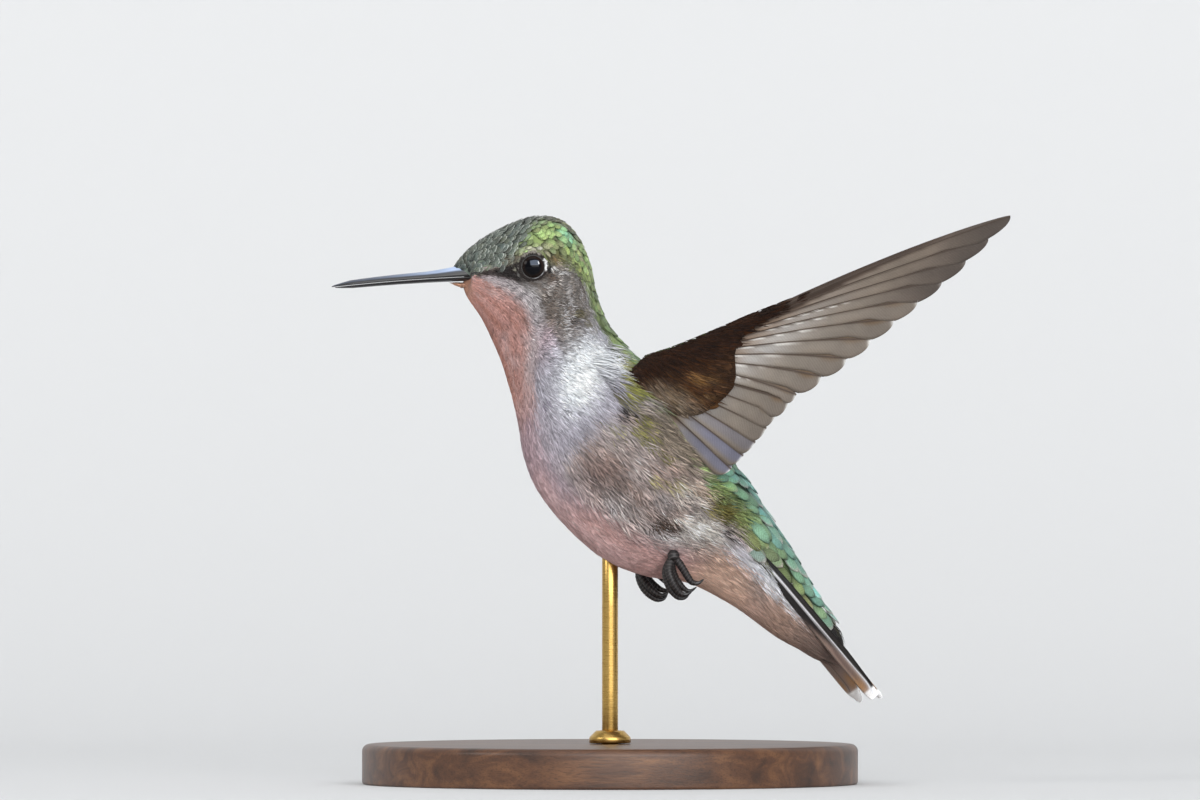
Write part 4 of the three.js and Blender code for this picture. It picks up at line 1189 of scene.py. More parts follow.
def covert_colour(reach, chord, p):
    """Chocolate at the front edge, rusty and mottled behind, greyer towards the body."""
    fine, broad = mottle(p, 0.7, 31), mottle(p, 2.2, 32)
    inside = ((reach + 1.5) * 8.2 - (chord - 0.7) * 6.5) / 10.5  # mm from the edge that faces the body
    rust = ease(broad + 0.4 * fine, 0.0, 0.7) * 0.8 * ease(chord, 1.5, 4.0)
    buff = ease(-broad + 0.3 * fine, 0.2, 0.8) * 0.7 * ease(chord, 3.0, 6.0) * (1 - ease(reach, 5, 9))
    grey = 0.75 * (1 - ease(inside + 0.5 * broad + 0.3 * fine, 0.3, 2.3)) * ease(chord, 1.6, 3.6)
    tint = painted(
        flat("#4C321E", *np.shape(reach)),
        ("#2B190F", 0.95 * (1 - ease(chord, 1.6, 4.6))),
        ("#83623C", rust),
        ("#A08C68", buff),
        ("#33241A", marks(reach, chord, (0.8, 2.4, 4.0, 1.6, 1.4), (0.6, 9.5, 5.0, 1.5, 1.2))),
        ("#877869", grey),
    )
    return np.clip(tint * (1 + 0.12 * fine)[..., None], 0, 1)


def coverts(side, word, face, kind, step, width, length=3.0, barbs=7):
    """Vanes or locks of barbs over one face of the arm: 1 is the underside, -1 the upper side.

    The tips stand in brick order inside the arm's outline, so each root lies one length back along
    the feather. Feathers run along the front edge and turn towards the rear edge behind it.
    """
    vanes = kind == "vanes"
    r, c = grid(np.arange(-0.6, 23.5, step), np.arange(-0.6, 9.2, width))
    r = (r + (np.arange(c.shape[1]) % 2) * step / 2 + chance.uniform(-0.3, 0.3, r.shape)).ravel()
    c = (c + chance.uniform(-0.25, 0.25, c.shape)).ravel()
    front, rear = arm_row(r, 1, 2)
    keep = (c > front + 0.4) & (c < rear + 0.15) & ((r < 16) | (not vanes))
    r, c, front = r[keep], c[keep], front[keep]
    n = len(r)
    turn = np.interp(r, [-1, 3, 8, 12, 22], [1.35, 1.1, 0.75, 0.45, 0.12]) * ease(c - front, -0.8, 2.4)
    turn = turn + chance.normal(0, 0.07, n)
    long_ = length * chance.uniform(0.8, 1.15, n) * (0.55 + 0.45 * ease(c - front, 0, 3))
    r, c = r - 0.9 * long_ * np.cos(turn), c - 0.9 * long_ * np.sin(turn)
    c = np.maximum(c, arm_row(r, 1)[0] + (0.5 if vanes else 0.3))
    if vanes:
        wide = 1.3 * width * chance.uniform(0.85, 1.15, n)
        charts = vane_charts(long_, wide, np.full(n, 0.0), np.full(n, 0.1), 0.03, chance.normal(0, 0.05, n))
    else:
        wide = np.full(n, 1.5 * width)
        thick, fan, root, loft = (np.full(n, v) for v in (0.13, 0.1, 0.1, 0.16))
        charts = lock_charts(long_, wide, barbs, thick, fan, root, loft, chance.normal(0, 0.04, n))
    along, across, lift = charts
    cs, sn = np.cos(turn)[:, None], np.sin(turn)[:, None]
    reach = r[:, None] + along * cs - across * sn
    chord = c[:, None] + along * sn + across * cs
    rim = arm_row(reach, 1)[0] - 0.08  # no feather stands out past the front edge
    chord = np.where(chord < rim, rim + 0.1 * (chord - rim), chord)
    base = np.maximum(arm_height(reach, chord) - 0.25, 0.12)
    p = lay_wing(reach, chord, face * (base + lift), side)
    u = ((r + 6) / 36)[:, None] * 0.45 + across / wide[:, None] * PATCH + (0.5 if face > 0 else 0.0)
    w = ((c + 6) / 18)[:, None] * 0.9 + (along / long_[:, None]) * PATCH
    if vanes:
        quads, triangles = vane_faces(n), ()
        tint = varied(covert_colour(reach[:, 14], chord[:, 14], p[:, 14]), 0.05, 0.01)
        fringe = painted(tint, ("#8A7058", np.full(n, 0.3)))
        colours = vane_tints(tint, fringe, 0.2, 0.4, 0.8).reshape(-1, 3)
    else:
        quads, triangles = lock_faces(n * barbs)
        middle = [v.reshape(n * barbs, BARB_POINTS, -1)[:, 3] for v in (reach, chord, p)]
        tint = varied(covert_colour(middle[0][:, 0], middle[1][:, 0], middle[2]), 0.13, 0.012)
        colours = np.repeat(tint, BARB_POINTS, axis=0)
    if face < 0:
        colours = painted(colours, ("#5E7F4A", 0.7 * (1 - ease(reach.ravel(), 6, 13))))
    if face * side > 0:
        quads, triangles = quads[:, ::-1], np.reshape(triangles, (-1, 3))[:, ::-1]
    name = f"{'under' if face > 0 else 'upper'}wing_covert_{kind}_{word}"
    bake = np.stack([u, w], -1)
    piece = make_piece(name, p, quads, triangles, colours, bake=bake, material=COVERT)


for word, side in SIDES:
    arm_skin(side, word)
    for face in (1, -1):
        coverts(side, word, face, "vanes", 1.2, 1.0)
        coverts(side, word, face, "barbs", 0.75, 0.6)

# %% [markdown]
# ## Tail
# Ten tail feathers, five a side, lie almost closed like a fan in the hand. They are dusky, with
# white tips on the outer ones, and on this side the outermost shows a white shaft on a black vane.
# The tail slopes 50 degrees down and is turned about its own axis, so that its underside faces
# the bird's left.

# %% Tail
TAIL_ROOT = np.array([15.9, 0.0, 31.1])
TAIL_PITCH = np.radians(50)
TAIL_LENGTHS = (21.5, 23.0, 25.0, 26.6, 26.0)  # from the middle pair outwards
VANE_WIDTHS = {  # half widths of the outer and the inner vane from root to tip
    "inner feather": ([0.5, 0.8, 1.0, 1.1, 1.1], [0.7, 1.4, 1.9, 2.2, 2.1]),
    "outermost": ([0.8, 1.4, 1.65, 1.75, 1.7], [0.8, 1.6, 2.2, 2.6, 2.4]),
    "near outermost": ([0.6, 0.9, 1.25, 1.45, 1.6, 1.7, 1.7, 0.9, 0.25], [0.5, 0.7, 0.85, 1.2, 1.3]),
}


def lay_tail(length, across, lift):
    """Root + length along + across to the right + (lift - 0.012 across^2) up, in the turned frame."""
    rise = np.array([np.sin(TAIL_PITCH), 0, np.cos(TAIL_PITCH)])
    right = np.array([0, 1.0, 0])
    up = rise * np.cos(TWIST) + right * np.sin(TWIST)
    side = right * np.cos(TWIST) - rise * np.sin(TWIST)
    along = np.array([np.cos(TAIL_PITCH), 0, -np.sin(TAIL_PITCH)])
    height = lift - 0.012 * across**2
    return TAIL_ROOT + along * length[..., None] + side * across[..., None] + up * height[..., None]


def tail_colours(k, place, near, p, v, q, over, mm, outwards):
    """sRGB of tail feather k: dusky, rusty band, black outermost vane, white tips, dark upper side."""
    speck = mottle(p, 1.4, 80 + k)
    layers = [
        ("#8C766F", ease(speck, -0.2, 0.7) * 0.6),
        ("#B08458", 0.8 * within(v, 0.87, 0.945, 0.03) * ease(np.abs(q), 0.1, 0.5)),
        ("#4D413B", np.exp(-((mm / 0.1) ** 2)) * 0.8),
    ]
    if near:
        # painted shadow: a dark dash between the overlapping tail feathers, laid on the near outermost one
        band = within(v, 0.7, 0.9, 0.04) * within(outwards, -0.6, -0.35, 0.1)
        layers += [
            ("#141011", 0.97 * ease(outwards, -0.02, 0.03)),
            ("#141011", 0.97 * (1 - ease(v + 0.25 * np.clip(-outwards, 0, 1), 0.68, 0.84))),
            # the dash of painted shadow
            ("#4A3B36", 0.7 * band),
        ]
    if place >= 2:
        layers.append(("#FFFFFF", ease(v, 0.945, 0.96)))
    if near:
        layers.append(("#EDEEF2", np.exp(-((mm / 0.15) ** 4))))
    tint = painted(flat("#927D72", len(p)), *layers)
    dark = srgb("#3B4A3C" if place < 2 else "#2E3230") * (1 + 0.15 * speck)[:, None]
    tint = np.where(((over > 0.5) & (v < 0.95))[:, None], dark, tint)
    return np.clip(tint * (1 + 0.06 * speck)[:, None], 0, 1)


def tail_feathers():
    """Ten blades as one piece: middle pair on top, each outer feather a little lower.

    The outermost one on the bird's left hangs lower still and lies aslant. The two outer feathers
    are 1.1 mm longer on the left than on the right.
    """
    blades = []
    for k, rank in enumerate(np.arange(-4.5, 5)):
        place, side = int(abs(rank) - 0.5), np.sign(rank)
        near = place == 4 and side < 0
        length = TAIL_LENGTHS[place] + (0 if place < 3 else -0.6 if side > 0 else 0.5)
        share = np.linspace(0, 1, 5)
        base_across, tip_across = (0.88 * rank, 0.95 * rank) if place < 4 else (side * 2.3, side * 3.15)
        shaft = np.stack([length * share, base_across + (tip_across - base_across) * share], -1)
        if near:
            shaft[:, 1] = [-2.6, -3.75, -3.8, -3.75, -3.8]
        kind = "near outermost" if near else "outermost" if place == 4 else "inner feather"
        front, rear = VANE_WIDTHS[kind] if side < 0 else VANE_WIDTHS[kind][::-1]
        drop = -0.5 if near else -0.13 * place + 0.12
        lifts = (0.25, -1.0) if near else (0.03, 0.03)
        swell = 0.0 if place < 2 else 0.4 if side > 0 else 0.3

        def lay(along, across, lift):
            return lay_tail(along, across, lift + drop)

        p, quads, caps, charts = blade(shaft, front, rear, lifts, lay, 11.0, 40, 0.12, 0.13, swell)
        v, q, over, mm = charts
        tint = tail_colours(k, place, near, p, *charts, side * q)
        barb = v * length * 0.85 - np.abs(mm) * 0.5
        blades.append((p, quads, caps, tint, barb, blade_strip(k, 10, v, q, over)))
    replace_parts(blades_piece("tail_feathers", blades, RECTRIX), "tail")


tail_feathers()

# %% [markdown]
# ## Bill
# The bill is horn over thin bone: two long half tubes that meet along the gape line. The upper one
# swells over the nostrils and its edge laps a little over the lower. Horn that grew smooth is black
# with a cool sheen, a little scuffed towards the tip.

# %% Bill
# root, length shown and hidden in the face; the gape line falls by slope and, squared, by decurve
BILL = dict(x=-16.5, z=63.46, slope=0.035, decurve=0.0022, length=15.0, hidden=3.3)


def horn_material(name, roughness, coat_weight, scuff=0.12):
    """Dark keratin coloured from the points: smooth, with faint lengthwise scuffs and a thin polish."""
    material, tree = new_material(name)
    place = node(tree, "TexCoord").outputs["Object"]
    tint = node(tree, "Attribute", attribute_name="tint").outputs["Color"]
    stretch = node(tree, "Mapping", {"Scale": (300.0, 2500.0, 2500.0)}, {"Vector": place})
    grain = node(tree, "TexNoise", {"Scale": 1.0, "Detail": 4.0}, {"Vector": stretch}).outputs["Fac"]
    low_high = {"To Min": roughness - scuff / 2, "To Max": roughness + scuff}
    rough = node(tree, "MapRange", low_high, {"Value": grain})
    gain = node(tree, "MapRange", {"To Min": 0.75, "To Max": 1.3}, {"Value": grain})
    colour = node(tree, "VectorMath", None, {0: tint, 1: gain}, operation="MULTIPLY")
    bump = node(tree, "Bump", {"Strength": 0.2, "Distance": 0.00003}, {"Height": grain})
    gloss = {"IOR": 1.55, "Specular IOR Level": 0.4, "Coat Weight": coat_weight, "Coat Roughness": 0.22}
    return principled(material, gloss, {"Base Color": colour, "Roughness": rough, "Normal": bump})


HORN = horn_material("polished_black_bill_horn", 0.36, 0.35)
CLAW = horn_material("black_claw_horn", 0.28, 0.4)
SCUTE = horn_material("scaly_black_toe_skin", 0.45, 0.12)
HORN_BLACK, TOE_BLACK = "#0E0E11", "#0F0B0B"


def bill_half(name, sense, length, heights, swell, painted_ridge_light, rings=90, around=40):
    """One half of the bill: x falls with the reach, the ridge rises from the gape line.

    height(t) = tip + (root - tip)(1 - t)^0.55, width likewise; the cross-section is a raised sine
    bow that is flat on the gape line. The upper half swells over the nostrils and has a shallow
    groove along each side there. The last colour given is a painted highlight: a band along the
    ridge that stands for the cool light of the sky on the horn.
    """
    t, angle = grid(np.linspace(0, 1, rings), turns(around))
    reach = t * length
    taper = (1 - t) ** 0.55
    narrow = 0.2 + 0.8 * np.clip((1 - t) * 8, 0, 1) ** 0.6
    height = (heights[1] + (heights[0] - heights[1]) * taper) * narrow + swell * ease(1 - reach / 7, 0, 1)
    width = (0.42 + (1.15 - 0.42) * taper) * narrow
    bow = np.maximum(0, np.sin(angle))
    ridge = bow ** (0.85 if sense > 0 else 1.0)
    groove = 0.3 * swell * np.exp(-(((np.abs(np.cos(angle)) - 0.62) / 0.13) ** 2))
    groove = groove * np.exp(-(((reach - 4.2) / 1.8) ** 2)) * (bow > 0)
    line_z = BILL["z"] - BILL["slope"] * reach - BILL["decurve"] * reach**2
    z = line_z + sense * (ridge * (height - groove) + 0.03)
    y = np.cos(angle) * (width + (0.03 if sense > 0 else 0.0)) * (1 - groove * 0.35)
    points, quads, caps = facing_out(*closed_tube(np.stack([BILL["x"] - reach, y, z], -1)))
    # painted highlight: a pale band along the ridge, fainter towards the tip, stands for the sky's light on
    # the horn
    share = np.append(ease(bow, 0.35, 0.65) * (1 - 0.65 * ease(t, 0.1, 0.9)), [0, 0])
    tint = painted(flat(HORN_BLACK, len(points)), (painted_ridge_light, share))
    piece = make_piece(name, points, quads, caps, tint, material=HORN)
    return piece


# the last colour given to each half is its painted highlight along the ridge
bill_length = BILL["length"] + BILL["hidden"]
upper = bill_half("bill_upper_horn", 1, bill_length, (1.0, 0.4), 0.58, "#A9BBDA")
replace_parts(upper, "bill_upper")
lower = bill_half("bill_lower_horn", -1, bill_length - 0.4, (0.52, 0.28), 0.0, "#191A1E")
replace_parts(lower, "bill_lower")

# %% [markdown]
# The edge of the bill runs on into the face as a thin black corner of the mouth. Above it the
# feathers of the forehead reach forward along the ridge of the bill, and under it a small wedge of
# buff chin feathers points forward.

# %% Corner of the mouth and chin point
def limb(line, radius, around, depth=1.0):
    """A closed tube of given radii along points; depth flattens the rings, which lie square to it."""
    step = np.gradient(line, axis=0)
    step /= np.linalg.norm(step, axis=1)[:, None]
    first = np.cross(step, np.array([0.0, 1.0, 0.0]))
    first /= np.linalg.norm(first, axis=1)[:, None]
    second = np.cross(step, first)
    angle = turns(around)[None, :, None]
    ring = first[:, None] * np.cos(angle) + second[:, None] * np.sin(angle) * depth
    return facing_out(*closed_tube(line[:, None] + ring * radius[:, None, None]))


def mouth_corner(side, word):
    """A tapering horny edge laid on the face from the bill's root to below the lore."""
    share = np.linspace(0, 1, 24)
    s = 0.25 + 1.4 * share
    line = on_skin(s, np.radians(side * np.interp(share, [0, 1], [97, 89])), 0.12 + 0.1 * share)
    p, q, c = limb(line, 0.17 - 0.11 * share**2, 12, 0.7)
    tint = flat(HORN_BLACK, len(p))
    piece = make_piece(f"mouth_corner_{word}", p, q, c, tint, material=HORN)


def chin_point(count=260):
    """Barbs under the root of the bill that point forward: roots in a box, tips drawn to the middle."""
    low, high = (-18.7, -0.8, 62.1), (-17.6, 0.8, 62.45)
    root = np.stack([chance.uniform(*ends, count) for ends in zip(low, high)], -1)
    length = chance.uniform(0.6, 1.7, count) * (1 - 0.6 * np.abs(root[:, 1]))
    f = BARB_REACH
    x = root[:, :1] - length[:, None] * f
    y = root[:, 1:2] * (1 - 0.65 * f) + BARB_SIDE * 0.11
    belly = np.array([0, 0, -0.1, 0, 0, -0.08, 0.0])
    z = root[:, 2:] + (62.72 - root[:, 2:]) * f**1.3 + belly + chance.uniform(-0.05, 0.03, (count, 1))
    tint = varied(flat("#B98D74", count), 0.08, 0.01)
    colours = np.repeat(tint[:, None], BARB_POINTS, 1)
    bake = np.stack([0.5 + y / 60, 0.005 + f * PATCH + 0 * x], -1)
    points = np.stack([x, y, z], -1)
    piece = make_piece("chin_point_barbs", points, *lock_faces(count), colours, bake=bake, material=DOWN)


for word, side in SIDES:
    mouth_corner(side, word)
chin_point()

# %% [markdown]
# ## Eyes
# A hummingbird's eye is large and looks black: a wet, clear cornea over a very dark brown iris. It
# is a polished ball let 4 mm deep into the head, held by a thin dark lid. Round the lid stands a
# ring of tiny feathers, white behind the eye and grey or dark elsewhere.

# %% Eyeball
def eye_material():
    """Wet cornea over a dark iris: nearly black, brown in a ring round the pupil, with a clear coat."""
    material, tree = new_material("wet_dark_eye_cornea")
    ring = node(tree, "Attribute", attribute_name="from_axis_mm")
    tone = toned(tree, ring.outputs["Fac"], (0.45, "#020203"), (0.6, "#100906"), (0.8, "#030303"))
    gloss = {"Roughness": 0.25, "IOR": 1.33, "Specular IOR Level": 0.0}
    wet = {"Coat Weight": 0.35, "Coat Roughness": 0.015, "Coat IOR": 1.376}
    return principled(material, gloss | wet, {"Base Color": tone})


CORNEA = eye_material()
# finely wrinkled, slightly moist
LID = plumage_material("bare_dark_lid_skin", 0.45, 0.0, 0.1, 0.4, shine=0.5, apart=0.1)


def eyeball(side, word):
    """A sphere of radius 2 whose rings run round the axis that points sideways out of the head."""
    theta, phi = grid(np.linspace(0.02, np.pi - 0.02, 60), turns(72))
    r, level = EYE_RADIUS * np.sin(theta), EYE_OUT + EYE_RADIUS * np.cos(theta)
    p = np.stack([EYE[0] + r * np.cos(phi), side * level, EYE[1] + r * np.sin(phi)], -1)
    points, quads, caps = closed_tube(p)
    off_axis = np.hypot(points[:, 0] - EYE[0], points[:, 2] - EYE[1]) / EYE_RADIUS
    numbers = {"from_axis_mm": np.where(side * points[:, 1] > EYE_OUT, off_axis, 1)}
    faces = facing_out(points, quads, caps)
    piece = make_piece(f"eyeball_{word}", *faces, numbers=numbers, material=CORNEA)
    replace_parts(piece, f"eye_{word}")


def eyelid(side, word, around=96, section=14):
    """A ring round the eyeball: radius and level follow the lid circle, the section is a flat oval.

    The upper lid is thicker and dark; the lower lid's rim is pale from the back to the front corner.
    """
    phi, ring = grid(turns(around), turns(section))
    thick = 0.085 + 0.03 * np.cos(phi - 1.7) + 0.008 * np.sin(17 * phi)
    r = LID_RADIUS + 0.04 + 1.2 * thick * np.cos(ring)
    level = LID_OUT - 0.01 + thick * 0.8 * np.sin(ring)
    p = np.stack([EYE[0] + r * np.cos(phi), side * level, EYE[1] + r * np.sin(phi)], -1).reshape(-1, 3)
    quads = tube_faces(around, section, closed=True)
    a, b, c = p[quads[0, 0]], p[quads[0, 1]], p[quads[0, 2]]
    if np.dot(np.cross(b - a, c - a), a - p[:section].mean(axis=0)) < 0:
        quads = quads[:, ::-1]
    degrees = np.degrees(np.angle(np.exp(1j * phi.ravel())))
    outer = ease(np.cos(ring.ravel()), -0.2, 0.6)
    tint = painted(
        flat("#15110F", len(p)),
        ("#D9DBE0", 0.9 * within(degrees, -92, -22, 10) * outer),
        ("#8C8682", 0.6 * within(degrees, -140, -105, 8) * outer),
    )
    make_piece(f"eyelid_{word}", p, quads, (), tint, material=LID)


def round_eye(angle, middle, width):
    """1 at one angle round the eye, falling off over its width, all in radians."""
    return np.exp(-((np.angle(np.exp(1j * (angle - middle))) / width) ** 2))


def eye_ring(side, word, count=620):
    """Tiny barbs rooted on the rim that point away from the eye and lean back along the head.

    Angle 0 is behind the eye and a quarter turn is above it. The crescent behind the eye is white
    and longest; grey-buff tufts stand over the brow; the rest is dark.
    """
    phi = (np.arange(count) + chance.uniform(-0.5, 0.5, count)) / count * 2 * np.pi
    layer = chance.uniform(0, 1, count)
    rear, over = round_eye(phi, 0.17, 0.62), round_eye(phi, 1.75, 0.7)
    tint = painted(
        flat("#2C2421", count),
        ("#A7A197", 0.95 * ease(over, 0.25, 0.5) * (layer > 0.35)),
        ("#FFFFFF", 0.98 * ease(rear, 0.42, 0.6) * (layer < 0.8)),
    )
    start = LID_RADIUS + 0.05 + 0.24 * layer
    length = 0.22 + 0.06 * rear + 0.45 * over * layer + 0.1 * chance.uniform(0, 1, count)
    lean = 0.7 * np.sin(-phi) * (1 - rear) + 0.5 * over + chance.normal(0, 0.15, count)
    width, fan, root = (np.full(count, v) for v in (0.02, 0.0, 0.03))
    thick, loft = 0.1 + 0.05 * rear, 0.16 + 0.1 * rear + 0.12 * over
    along, across, lift = lock_charts(length, width, 1, thick, fan, root, loft, lean * 0.2)
    r = start[:, None] + along * np.cos(lean)[:, None] - across * np.sin(lean)[:, None]
    w = along * np.sin(lean)[:, None] + across * np.cos(lean)[:, None]
    c, s = np.cos(phi)[:, None], np.sin(phi)[:, None]
    y = side * (LID_OUT - 0.04 + 0.1 * ease(r, LID_RADIUS, LID_RADIUS + 1.7) + lift)
    p = np.stack([EYE[0] + r * c - w * s, y, EYE[1] + r * s + w * c], -1)
    shade = np.array([0.85, 0.85, 0.85, 1, 1, 1, 1.05])
    colours = np.clip(varied(tint, 0.07)[:, None] * shade[:, None], 0, 1)
    quads, triangles = lock_faces(count)
    if side > 0:
        quads, triangles = quads[:, ::-1], triangles[:, ::-1]
    patch = np.stack([phi / 7 + 0.02, 0.1 + layer * 0.8], -1)[:, None]
    bake = patch + np.stack([across / 0.1, along], -1) * PATCH
    piece = make_piece(f"eye_ring_{word}", p, quads, triangles, colours, bake=bake, material=DOWN)


for word, side in SIDES:
    eyeball(side, word)
    eyelid(side, word)
    eye_ring(side, word)

# %% [markdown]
# ## Legs and feet
# The feet are tiny and weak, good for perching only. Each toe is a tube with a ring of scales every
# 0.42 mm, and ends in a hooked claw. In flight they hang half closed.

# %% Toes and claws
TOES = {  # steps in x and z from the knuckle to the claw's tip, and how far the toe stands aside
    "inner": ([(0, 0), (-0.2, -1.5), (0.4, -3), (1.3, -4.1), (2.1, -4.4), (2.9, -3.9)], 0.75),
    "middle": ([(0, 0), (-0.9, -1.7), (-0.7, -3.5), (0.3, -5), (1.3, -5.3), (2.1, -4.7)], 0.0),
    "outer": ([(0, 0), (-0.6, -1.6), (-0.1, -3.3), (0.8, -4.6), (1.7, -4.8), (2.5, -4.2)], -0.75),
    "hind": ([(0, 0), (0.9, -1.2), (1.7, -2.5), (2.3, -3.3), (3.1, -3.4), (3.8, -2.9)], 0.0),
}
LEGS = {  # top of the shank, knuckle, and the foot's lean in radians
    "left": ((8.4, -3.2, 30.6), (7.9, -7.5, 28.6), 0.0),
    "right": ((5.6, 1.6, 29.8), (4.1, 5.0, 27.9), -0.25),
}


def toe_line(path, aside, knuckle, lean):
    """The toe's path from the knuckle: steps in x and z, leaning inwards, turned by the foot's lean."""
    path = np.array(path, float)
    k = np.arange(len(path))
    y = aside * np.minimum(1, k / 2) + np.sign(knuckle[1]) * 0.28 * path[:, 1]
    c, s = np.cos(lean), np.sin(lean)
    points = np.stack([path[:, 0] * c + path[:, 1] * s, y, -path[:, 0] * s + path[:, 1] * c], -1)
    return points + np.array(knuckle)


def scutes(line, radius, around=20, step=0.42):
    """A toe with overlapping scales: each ring swells over a scale and drops sharply at its edge."""
    p, q, t = limb(line, radius, around)
    run = np.append(0, np.cumsum(np.linalg.norm(np.diff(line, axis=0), axis=1)))
    phase = np.mod(run[:, None] / step + 0.28 * np.cos(turns(around)), 1.0)
    grow = 1 + 0.09 * (phase**1.5 - 0.55)
    on_rings = slice(len(line) * around)
    rings, middle = p[on_rings].reshape(len(line), around, 3), line[:, None]
    p[on_rings] = (middle + (rings - middle) * grow[..., None]).reshape(-1, 3)
    # painted highlight: the raised edge of each scale is painted pale, where it would catch the light
    rim = np.append(ease(phase, 0.55, 0.95), [0, 0])
    return p, q, t, painted(flat(TOE_BLACK, len(p)), ("#6E6566", 0.55 * rim))


def foot(word):
    """Toes with scales as one piece, claws as another, and the short bare leg above."""
    hip, knuckle, lean = LEGS[word]
    toes, claws = [], []
    for path, aside in TOES.values():
        points = toe_line(path, aside, knuckle, lean)
        share = np.linspace(0, 0.8, 150)
        radius = np.interp(share, [0, 0.3, 0.62, 0.8], [0.5, 0.49, 0.44, 0.3])
        toes.append(scutes(evenly(points, share), radius))
        tip = evenly(points, np.linspace(0.74, 1.0, 30))
        claws.append(limb(tip, 0.29 * (1 - np.linspace(0, 1, 30)) ** 0.7 + 0.03, 14, 0.75))
    share = np.linspace(-0.995, 0.995, 30)
    ball = np.array(knuckle) + np.outer(share * 0.78, [0, 0.4, 0.9]) / np.hypot(0.4, 0.9)
    toes.append(scutes(ball, 0.76 * np.sqrt(1 - share**2)))
    tints = np.concatenate([toe[3] for toe in toes])
    piece = make_piece(f"scaly_toes_{word}", *joined([toe[:3] for toe in toes]), tints, material=SCUTE)
    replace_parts(piece, f"foot_{word}")
    p, q, c = joined(claws)
    piece = make_piece(f"claws_{word}", p, q, c, flat(HORN_BLACK, len(p)), material=CLAW)
    start, end = np.array(hip), np.array(knuckle)
    shank = start + (end - start) * np.linspace(0, 0.97, 60)[:, None]
    piece = make_piece(f"scaly_shank_{word}", *scutes(shank, np.full(60, 0.47), 18, 0.5), material=SCUTE)
    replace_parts(piece, f"leg_{word}")


for word in ("left", "right"):
    foot(word)

# %% [markdown]
# ## Display stand
# A turned walnut disc with a small rounded edge, oiled and rubbed, carries a brass rod 2 mm thick in
# a brass collar. Turned parts are a profile carried round an axis: radius and height are given at a
# few points and every corner is rounded by the lathe's own fine steps.

# %% Stand
def carried_round(profile, angle):
    """Points (profile, angle) of radii and heights carried round the z axis."""
    radius = profile[:, None, 0]
    height = np.broadcast_to(profile[:, None, 1], (len(profile), len(angle)))
    return np.stack([radius * np.cos(angle), radius * np.sin(angle), height], -1)


def turned_piece(name, profile, material, node_name, around=160):
    """A solid piece whose profile starts and ends next to the axis, where it is closed."""
    points = carried_round(np.array(profile, float), turns(around))
    piece = make_piece(name, *facing_out(*closed_tube(points)), material=material)
    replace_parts(piece, node_name)


def walnut_material():
    """Black walnut, turned across the grain and oiled: bands of growth, pores along the grain."""
    material, tree = new_material("oiled_black_walnut")
    place = node(tree, "TexCoord").outputs["Object"]
    laid = {"Scale": (90.0, 800.0, 800.0), "Location": (0.2, 0.13, 0.4), "Rotation": (0.1, 0.02, 0.06)}
    board = node(tree, "Mapping", laid, {"Vector": place})
    wavy = {"Scale": 0.42, "Detail": 5.0, "Roughness": 0.62, "Distortion": 0.6}
    rings = node(tree, "TexNoise", wavy, {"Vector": board}).outputs["Fac"]
    pore_map = node(tree, "Mapping", {"Scale": (500.0, 7000.0, 7000.0)}, {"Vector": place})
    pores = node(tree, "TexNoise", {"Scale": 1.0, "Detail": 2.0}, {"Vector": pore_map}).outputs["Fac"]
    tone = toned(tree, rings, (0.3, "#2E1C12"), (0.72, "#7A5334"), (0.5, "#543521"))
    low_high = {"From Min": 0.3, "From Max": 0.5, "To Min": 0.62, "To Max": 1.0}
    dark = node(tree, "MapRange", low_high, {"Value": pores})
    colour = node(tree, "VectorMath", None, {0: tone, 1: dark}, operation="MULTIPLY")
    rough = node(tree, "MapRange", {"To Min": 0.34, "To Max": 0.52}, {"Value": pores})
    bump = node(tree, "Bump", {"Strength": 0.25, "Distance": 0.00006}, {"Height": pores})
    gloss = {"IOR": 1.5, "Coat Weight": 0.15, "Coat Roughness": 0.3}
    return principled(material, gloss, {"Base Color": colour, "Roughness": rough, "Normal": bump})


def brass_material():
    """Drawn and lacquered brass: fine scratches round the rod, slightly uneven gloss."""
    material, tree = new_material("brushed_yellow_brass")
    place = node(tree, "TexCoord").outputs["Object"]
    lines = node(tree, "Mapping", {"Scale": (700.0, 700.0, 9000.0)}, {"Vector": place})
    scratch = node(tree, "TexNoise", {"Scale": 1.0, "Detail": 3.0}, {"Vector": lines}).outputs["Fac"]
    rough = node(tree, "MapRange", {"To Min": 0.2, "To Max": 0.38}, {"Value": scratch})
    tone = toned(tree, scratch, (0.0, "#B08A45"), (1.0, "#CFAE6A"))
    bump = node(tree, "Bump", {"Strength": 0.15, "Distance": 0.00003}, {"Height": scratch})
    links = {"Base Color": tone, "Roughness": rough, "Normal": bump}
    return principled(material, {"Metallic": 1.0}, links)


WALNUT, BRASS = walnut_material(), brass_material()
DISC_RADIUS, DISC_TOP, TOP_ROUND, FOOT_ROUND = 31, 5, 0.9, 0.35
corner = np.linspace(0, np.pi / 2, 9)
foot_profile = [
    (DISC_RADIUS - FOOT_ROUND + FOOT_ROUND * np.sin(c), FOOT_ROUND - FOOT_ROUND * np.cos(c)) for c in corner
]
edge_profile = [
    (DISC_RADIUS - TOP_ROUND + TOP_ROUND * np.cos(c), DISC_TOP - TOP_ROUND + TOP_ROUND * np.sin(c))
    for c in corner
]
under = [(0.02, 0)] + [(r, 0) for r in (8, 16, 24, 30)]
over = [(r, DISC_TOP) for r in (29.6, 27.0, 18, 9, 3, 1.32)]
rod_hole = [(1.3, 4.95), (1.3, 2.0), (0.02, 2.0)]
disc = under + foot_profile + edge_profile + over + rod_hole
turned_piece("turned_walnut_base", disc, WALNUT, "stand_base")
rod = [(0.02, 2.3), (0.95, 2.3), (1, 2.4), (1, 12), (1, 22), (1, 31.4), (0.9, 31.5), (0.02, 31.5)]
